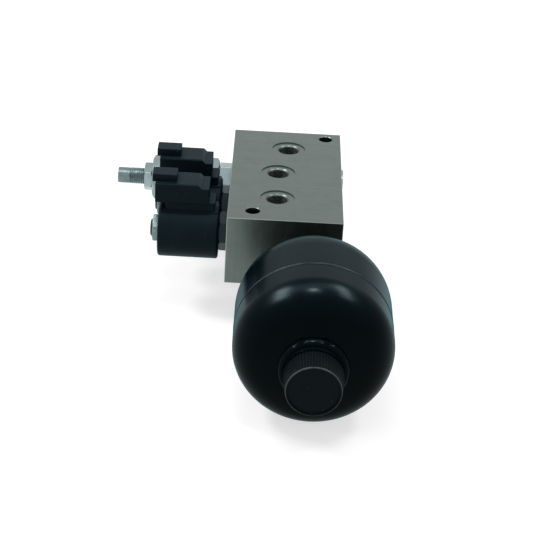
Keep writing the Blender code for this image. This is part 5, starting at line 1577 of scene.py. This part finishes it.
@dataclass
class Accumulator(Assembly):
    """The diaphragm accumulator: stem, two welded half shells, diaphragm, boss, charging screw and cap."""

    radius: float = 58.0
    wall: float = 4.0
    pole: float = 23.6
    rear_offset: float = 11.0
    rear_crown: float = 70.0
    fluid_cylinder: float = 30.7
    gas_cylinder: float = 19.2
    front_knuckle: float = 25.6
    front_crown: float = 130.0
    stem: Hexagon = Hexagon(36.0, 10.0, 0.5)
    neck: float = 15.0
    rebate: float = 1.6
    clamp_half: float = 3.8
    clamp_width: float = 3.4
    bead_height: float = 4.0
    bead_width: float = 4.6
    flat: float = 24.0
    sheet: float = 2.2
    boss_neck: float = 20.0
    boss_bore: float = 3.0
    boss_height: float = 10.3
    rim: float = 18.0
    rim_height: float = 10.0
    charging: float = 13.8
    charging_length: float = 11.0
    seal_height: float = 1.8
    key: Hexagon = Hexagon(8.0, 0.0, 0.15, 5)
    key_depth: float = 6.0
    collar: float = 25.3
    shoulder: float = 21.8
    cap_base: float = 21.5
    cap_end: float = 19.9
    cap_length: float = 19.3
    cap_ribs: int = 60
    rib_depth: float = 0.6
    columns: int = 192
    drops: tuple[tuple[float, float, float, float], ...] = (
        (114.0, 38.0, 4.5, 1.5), (106.0, 55.0, 2.6, 0.8), (120.0, 52.0, 2.0, 0.6), (102.0, 26.0, 2.0, 0.5),
        (72.0, 38.0, 4.5, 1.4), (65.0, 55.0, 2.6, 0.8), (79.0, 56.0, 2.0, 0.6), (58.0, 28.0, 2.2, 0.6),
        (90.0, 44.0, 1.8, 0.3), (130.0, 40.0, 2.2, 0.4), (147.0, 30.0, 2.4, 0.4), (38.0, 36.0, 2.2, 0.45),
        (200.0, 40.0, 2.2, 0.5), (250.0, 32.0, 2.0, 0.4), (305.0, 44.0, 2.2, 0.5), (340.0, 35.0, 2.0, 0.4))
    rear_tangent: float = field(init=False)
    seam: float = field(init=False)
    front_tangent: float = field(init=False)

    def __post_init__(self) -> None:
        """Work out the heights where the domes meet the cylinder, and the seam between the halves."""
        sink = math.sqrt((self.rear_crown - (self.radius - self.rear_offset)) ** 2 - self.rear_offset ** 2)
        self.rear_tangent = self.pole + self.rear_crown - sink
        self.seam = self.rear_tangent + self.fluid_cylinder
        self.front_tangent = self.seam + self.gas_cylinder

    @property
    def ring_outside(self) -> float:
        """Return the outer radius of the clamp ring and of the diaphragm's bead, which lie in the rebate."""
        return self.radius - self.wall + self.rebate - GAP

    def dome(self, inset: float, front: bool, stop: float) -> list[Row]:
        """Return a dome's points from the cylinder inwards.

        The knuckle is an arc about a point on the cylinder's end, and the crown is a sphere cap about a
        point on the axis that touches it.

        Args:
            inset: Distance inside the shell's outer surface.
            front: Whether it is the gas half's dome.
            stop: Radius of the hole where it ends.

        Returns:
            The points as (radius, height) rows.
        """
        offset = self.radius - self.front_knuckle if front else self.rear_offset
        knuckle = self.radius - offset - inset
        crown = (self.front_crown if front else self.rear_crown) - inset
        sink = math.sqrt((crown - knuckle) ** 2 - offset ** 2)
        join = math.atan2(sink, offset)
        swing = np.linspace(0, join, 30)
        radii = offset + knuckle * np.cos(swing)
        heights = knuckle * np.sin(swing)
        rest = np.linspace(radii[-1], stop, 26)[1:]
        radii = np.concatenate([radii, rest])
        heights = np.concatenate([heights, np.sqrt(crown ** 2 - rest ** 2) - sink])
        towards, tangent = (1.0, self.front_tangent) if front else (-1.0, self.rear_tangent)
        return list(zip(radii, tangent + towards * heights))

    def crown_height(self, inset: float, radius: float) -> float:
        """Return the height of the gas half's crown at a radius."""
        return float(self.dome(inset, True, radius)[-1][1])

    def half(self, front: bool, hole: float, rebate_end: float) -> Form:
        """Make one half of the shell; at the seam its lip steps down beside a low weld bead.

        Args:
            front: Whether it is the gas half.
            hole: Radius of the hole in its crown.
            rebate_end: Height where the rebate for the clamp ring ends.

        Returns:
            The closed form.
        """
        towards = 1.0 if front else -1.0
        edge = self.seam + towards * GAP / 2
        outside = self.dome(0.0, front, hole)[::-1]
        swell = np.linspace(math.pi * 0.94, 0.06 * math.pi, 9)
        crest = [(self.radius - 0.22 + 0.34 * math.sin(a), edge + towards * (0.5 - 0.46 * math.cos(a))) for a in swell]
        lip = [(self.radius, edge + towards * 1.7), (self.radius - 0.2, edge + towards * 1.3), *crest,
               (self.radius - 0.4, edge)]
        inner = self.radius - self.wall
        step = [(inner + self.rebate, edge), (inner + self.rebate, rebate_end), (inner, rebate_end)]
        rows = outside + lip + step + self.dome(self.wall, front, hole)
        return ring(rows, self.columns, 0)

    def shells(self) -> None:
        """Make both half shells and the clamp ring."""
        ring_low, ring_high = self.seam - self.clamp_half, self.seam + self.clamp_half
        self.piece("accumulator_fluid_shell", self.half(False, self.neck + GAP, ring_low - 4.6), PAINT_KIND)
        self.piece("accumulator_gas_shell", self.half(True, self.boss_neck + GAP, ring_high + GAP), PAINT_KIND)
        outer = self.ring_outside
        inner = outer - self.clamp_width
        self.piece("diaphragm_clamp_ring", ring([(inner, ring_low), (outer, ring_low), (outer, ring_high),
                                                 (inner, ring_high)], 128), BRIGHT_KIND)

    def stem_piece(self) -> float:
        """Make the stem with its hexagon, and its seal.

        Returns:
            Height of its top.
        """
        top = float(self.dome(self.wall, False, self.neck)[-1][1])
        angles = self.stem.angles()
        rows: list[Row] = [(4.0, -14.0), (9.0, -14.0), (9.0, GAP), (self.stem.radius(angles), GAP)]
        rows += self.stem.end(11.3, 1.2, 1.0, angles)
        rows += [(self.neck, 11.3), (self.neck, top), (8.0, top), (4.0, top - 2.0)]
        self.piece("accumulator_stem", ring(rows, angles, 0.3), PAINT_KIND)
        self.piece("accumulator_stem_seal", torus(10.0, -1.0, SEAL_SECTION), SEAL_KIND)
        return top

    def diaphragm(self, stem_top: float) -> None:
        """Make the button and the rubber diaphragm: bead, bowl and a flat middle over the button.

        Args:
            stem_top: Height of the stem's top.
        """
        low = stem_top + GAP
        top = low + 2.2
        self.piece("diaphragm_button", turned([(0, low), (11.0, low), (11.0, top), (4.3, top), (4.3, top + 3.2),
                                               (0, top + 3.2)], 72), BRIGHT_KIND, "button_body")
        middle = top + GAP
        bead_high = self.seam - self.clamp_half - GAP
        bead_low = bead_high - self.bead_height
        bead_out, bead_in = self.ring_outside, self.ring_outside - self.bead_width
        outer, inner = self.wall + 2 * GAP, self.wall + 2 * GAP + self.sheet
        rows = [(4.6, middle), *self.dome(outer, False, self.flat)[::-1], (self.radius - outer, bead_low),
                (bead_out, bead_low), (bead_out, bead_high), (bead_in, bead_high), (bead_in, bead_low),
                *self.dome(inner, False, self.flat), (4.6, middle + self.sheet)]
        sheet = self.piece("accumulator_diaphragm", ring(rows, 144, 0), SHEET_KIND)
        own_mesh(sheet)

    def spatter(self, angles: Array, sweep: float) -> Array:
        """Return how far the weld's drops stand out at each angle: the sum of small bell curves.

        Args:
            angles: Angles round the axis.
            sweep: Angle along the collar's rounded side.

        Returns:
            The rise in millimetres; it fades where the rounding ends.
        """
        drops = np.array(self.drops)
        turn = np.degrees(angles)[:, None] - drops[:, 0]
        turn = (turn + 180) % 360 - 180
        rise = np.exp(-(turn / drops[:, 2]) ** 2 - ((math.degrees(sweep) - drops[:, 1]) / 12) ** 2) * drops[:, 3]
        return rise.sum(axis=1) * math.sin(2 * sweep)

    def boss(self) -> float:
        """Make the welded boss, and the charging screw in it with its seal.

        The collar's foot carries a weld of small ripples: its radius swings by two sines of the angle.

        Returns:
            Height of the cap's seat.
        """
        neck, bore, rim, screw = self.boss_neck, self.boss_bore, self.rim, self.charging
        collar_edge = self.crown_height(0.0, self.collar) + GAP
        hole_edge = self.crown_height(0.0, neck) + GAP
        low = self.crown_height(self.wall, neck) - 3.0
        seat = collar_edge + self.boss_height
        end = seat + self.rim_height
        floor = end - self.charging_length - self.seal_height - GAP
        angles = even_turn(288)
        ripple = 0.09 * np.sin(96 * angles) + 0.05 * np.sin(37 * angles + 1.0)
        swell = np.linspace(0, math.pi / 2, 18)
        sweep = [(self.collar - (self.collar - self.shoulder) * (1 - math.cos(a)) + self.spatter(angles, a),
                  collar_edge + 1.4 + 4.2 * math.sin(a)) for a in swell]
        room = screw + GAP
        rows: list[Row] = [(bore, low), (neck, low), (neck, hole_edge), (self.collar - 0.3, collar_edge),
                           (self.collar + ripple - 0.05, collar_edge + 0.35),
                           (self.collar + 0.6 * ripple, collar_edge + 0.9),
                           *sweep, (self.shoulder, seat), (rim, seat), (rim, end - 0.5), (rim - 0.5, end),
                           (room + 0.3, end), (room, end - 0.3), (room, floor), (bore, floor)]
        self.piece("gas_boss", ring(rows, angles, 0), PAINT_KIND)
        seal_low, seal_high = floor + GAP, floor + self.seal_height
        self.piece("charging_screw_seal", ring([(screw - 3.6, seal_low), (screw, seal_low), (screw, seal_high),
                                                (screw - 3.6, seal_high)], 72, 0.3), SEAL_KIND)
        turn = self.key.angles()
        socket = self.key.radius(turn)
        low = seal_high + GAP
        top = low + self.charging_length
        key_floor = top - self.key_depth
        rows = [(0, low), (screw - 0.6, low), (screw, low + 0.6), (screw, top - 0.6), (screw - 0.6, top),
                (socket + 0.3, top), (socket, top - 0.3), (socket, key_floor), (0, key_floor - 0.6)]
        self.piece("charging_screw", turned(rows, turn, 0.15), ZINC_KIND)
        return seat

    def cap(self, seat: float) -> None:
        """Make the ribbed cap: each rib is the positive half of a sine raised to a flat crest.

        Args:
            seat: Height that the cap stands on.
        """
        low = seat + GAP
        high = low + self.cap_length
        angles = even_turn(self.cap_ribs * 10)
        wave = 0.5 + 0.5 * np.cos(self.cap_ribs * angles)
        dip = self.rib_depth * (1 - np.clip(wave * 1.5, 0, 1))
        plain = self.cap_end - 0.35
        rib_high = high - 2.0
        span = np.linspace(0, 1, 5)
        ribs = [(self.cap_base + (self.cap_end - self.cap_base) * s - dip, low + 0.5 + (rib_high - low - 0.5) * s)
                for s in span]
        swell = np.linspace(0, math.pi, 9)
        rim = [(plain - 0.7 + 0.7 * math.cos(a), high - 0.7 + 0.7 * math.sin(a)) for a in swell]
        rows: list[Row] = [(0, high - 3.6), (18.3, high - 3.6), (18.3, low), (self.cap_base - 0.5 - dip, low), *ribs,
                           (plain, rib_high + 0.35), *rim, (plain - 1.5, high - 1.3), (plain - 1.8, high - 1.7),
                           (plain - 6.0, high - 1.7), (0, high - 1.6)]
        self.piece("protective_cap", turned(rows, angles, 0), CAP_KIND, "cap_body", sharp=50.0)

    def build(self) -> None:
        """Make every piece of the accumulator."""
        self.shells()
        self.diaphragm(self.stem_piece())
        self.cap(self.boss())


# Studio


class Lights(Enum):
    """Which pieces a lamp lights: the glossy black accumulator, or all the rest with the floor."""

    PAINTED = "painted_pieces"
    OTHERS = "other_pieces"

    def collection(self) -> bpy.types.Collection:
        """Return the collection of the pieces that the lamps light, made on its first use.

        Returns:
            The collection.
        """
        found = bpy.data.collections.get(self.value)
        if found is not None:
            return found
        made = bpy.data.collections.new(self.value)
        for piece in list(bpy.context.scene.objects):
            painted = piece.type == "MESH" and any(slot.material and slot.material.name == PAINT.name
                                                   for slot in piece.material_slots)
            if piece.type == "MESH" and painted == (self is Lights.PAINTED):
                made.objects.link(piece)
        return made


@dataclass(frozen=True)
class Lamp:
    """An area lamp that looks at a point; sizes and places in metres."""

    name: str
    place: Triple
    size: tuple[float, float]
    power: float
    lights: Lights = Lights.OTHERS
    aim: Triple = (0.0, -0.2, 0.05)

    def build(self) -> None:
        """Hang the lamp."""
        data = bpy.data.lights.new(self.name, "AREA")
        data.shape = "RECTANGLE"
        data.size, data.size_y = self.size
        data.energy = self.power
        lamp = bpy.data.objects.new(self.name, data)
        bpy.context.collection.objects.link(lamp)
        lamp.location = self.place
        lamp.light_linking.receiver_collection = self.lights.collection()
        lamp.rotation_euler = (Vector(self.aim) - Vector(self.place)).to_track_quat("-Z", "Y").to_euler()


@dataclass
class Studio:
    """Floor, background, lamps and the camera at the photograph's angle."""

    floor_height: float = -0.0385
    floor_half: float = 12.0
    camera_place: Triple = (-0.01740145, -1.19600311, 0.62087830)
    camera_turn: Triple = (61.43288333, -2.83641947, 1.28805847)
    sensor: float = 36.0
    lens: float = 109.887
    ambient: float = 0.46
    floor_glow: float = 0.64
    far_glow: float = 0.82
    fade: tuple[float, float] = (0.9, 2.6)
    floor_colour: Triple = (0.54, 0.54, 0.54)
    lamps: tuple[Lamp, ...] = (
        Lamp("left_box", (-0.86, 0.04, 1.1), (0.34, 0.34), 8.0),
        Lamp("right_box", (0.7, 0.12, 1.1), (0.3, 0.3), 4.6, aim=(0.03, -0.2, 0.05)),
        Lamp("top_strip", (-0.04, -0.24, 1.15), (0.7, 0.16), 3.0),
        Lamp("left_softbox", (-0.86, -0.04, 1.1), (0.8, 0.34), 46.0, Lights.PAINTED),
        Lamp("right_softbox", (0.67, 0.04, 1.1), (0.75, 0.25), 23.0, Lights.PAINTED, aim=(0.03, -0.2, 0.05)),
        Lamp("top_softbox", (-0.06, 0.06, 1.15), (1.5, 0.4), 10.0, Lights.PAINTED),
        Lamp("top_spot", (-0.04, -0.24, 1.12), (0.03, 0.02), 9.0, Lights.PAINTED),
        Lamp("back_panel", (0.0, 1.2, 0.83), (2.6, 0.6), 3.6, Lights.PAINTED),
    )

    def seen_directly(self, nodes: Nodes) -> bpy.types.NodeSocket:
        """Return 1 for what the camera, gloss or glass sees, and 0 for what lights the object.

        Args:
            nodes: The builder of the world or the floor.

        Returns:
            The socket of that number.
        """
        path = nodes.add("ShaderNodeLightPath")
        either = nodes.math("MAXIMUM", path.outputs["Is Camera Ray"], path.outputs["Is Glossy Ray"])
        return nodes.math("MAXIMUM", either, path.outputs["Is Transmission Ray"])

    def world(self) -> None:
        """White where it is seen, and a plain level where it lights."""
        world = bpy.data.worlds.new("studio_world")
        bpy.context.scene.world = world
        world.use_nodes = True
        nodes = Nodes(world.node_tree)
        seen = self.seen_directly(nodes)
        sky = world.node_tree.nodes["Background"]
        sky.inputs["Color"].default_value = (1.0, 1.0, 1.0, 1.0)
        world.node_tree.links.new(nodes.spread(seen, 0.0, 1.0, self.ambient, 1.0), sky.inputs["Strength"])

    def floor(self) -> None:
        """A wide pale floor that keeps the object's shadow and runs into the white with its distance.

        It is clear from beneath, so that the object's underside can be looked at too.
        """
        size, z = self.floor_half, self.floor_height
        mesh = bpy.data.meshes.new("studio_floor")
        mesh.from_pydata([(-size, -size, z), (size, -size, z), (size, size, z), (-size, size, z)], [], [(0, 1, 2, 3)])
        floor = bpy.data.objects.new("studio_floor", mesh)
        bpy.context.collection.objects.link(floor)
        made = bpy.data.materials.new("pale_floor")
        made.use_nodes = True
        nodes = Nodes(made.node_tree)
        shader = made.node_tree.nodes["Principled BSDF"]
        values = {"Base Color": (*self.floor_colour, 1.0), "Roughness": 1.0, "Specular IOR Level": 0.0,
                  "Emission Color": (1.0, 1.0, 1.0, 1.0)}
        for name, value in values.items():
            shader.inputs[name].default_value = value
        seen = self.seen_directly(nodes)
        away = nodes.vector("LENGTH", nodes.place())
        glow = nodes.spread(away, *self.fade, self.floor_glow, self.far_glow)
        link = made.node_tree.links.new
        link(nodes.math("MULTIPLY", seen, glow), shader.inputs["Emission Strength"])
        beneath = nodes.add("ShaderNodeNewGeometry").outputs["Backfacing"]
        clear = nodes.add("ShaderNodeBsdfTransparent").outputs["BSDF"]
        sides = nodes.add("ShaderNodeMixShader", {0: beneath, 1: shader.outputs["BSDF"], 2: clear})
        link(sides.outputs["Shader"], made.node_tree.nodes["Material Output"].inputs["Surface"])
        mesh.materials.append(made)

    def camera(self) -> None:
        """The camera as the photograph's perspective gives it, for an image of 533 by 533."""
        data = bpy.data.cameras.new("photo_camera")
        data.sensor_width = self.sensor
        data.lens = self.lens
        data.clip_start, data.clip_end = 0.05, 60.0
        camera = bpy.data.objects.new("photo_camera", data)
        bpy.context.collection.objects.link(camera)
        camera.location = self.camera_place
        camera.rotation_euler = Euler([math.radians(angle) for angle in self.camera_turn], "XYZ")
        bpy.context.scene.camera = camera

    def build(self) -> None:
        """Set up the whole studio."""
        self.world()
        self.floor()
        for lamp in self.lamps:
            lamp.build()
        self.camera()
        bpy.context.scene.view_settings.view_transform = "Standard"


def valve_axis(y: float, height: float = 28.4) -> Axis:
    """Return the axis of a valve in the block's left face: local x is up and z leaves the block."""
    return Axis((-45.0, y, height), (0, 0, 1), (0, 1, 0), (-1, 0, 0))


def main() -> None:
    """Build every sub-assembly and the studio."""
    front, rear, relief = valve_axis(-51.2), valve_axis(-3.9), valve_axis(41.7)
    accumulator = Axis((23.6, -84.0, 20.0), (1, 0, 0), (0, 0, 1), (0, -1, 0))
    check = Axis((45.0, 49.3, 28.4), (0, 0, -1), (0, 1, 0), (1, 0, 0))
    ManifoldBlock().build((front, rear, relief), accumulator, check)
    SolenoidValve(axis=front, side="front", core="front_core").build()
    SolenoidValve(axis=rear, side="rear", core="rear_core", hexagon=Hexagon(27.0, 33.0)).build()
    ReliefValve(axis=relief).build()
    CheckValve(axis=check).build()
    Accumulator(axis=accumulator).build()
    Studio().build()


if __name__ == "__main__":
    main()
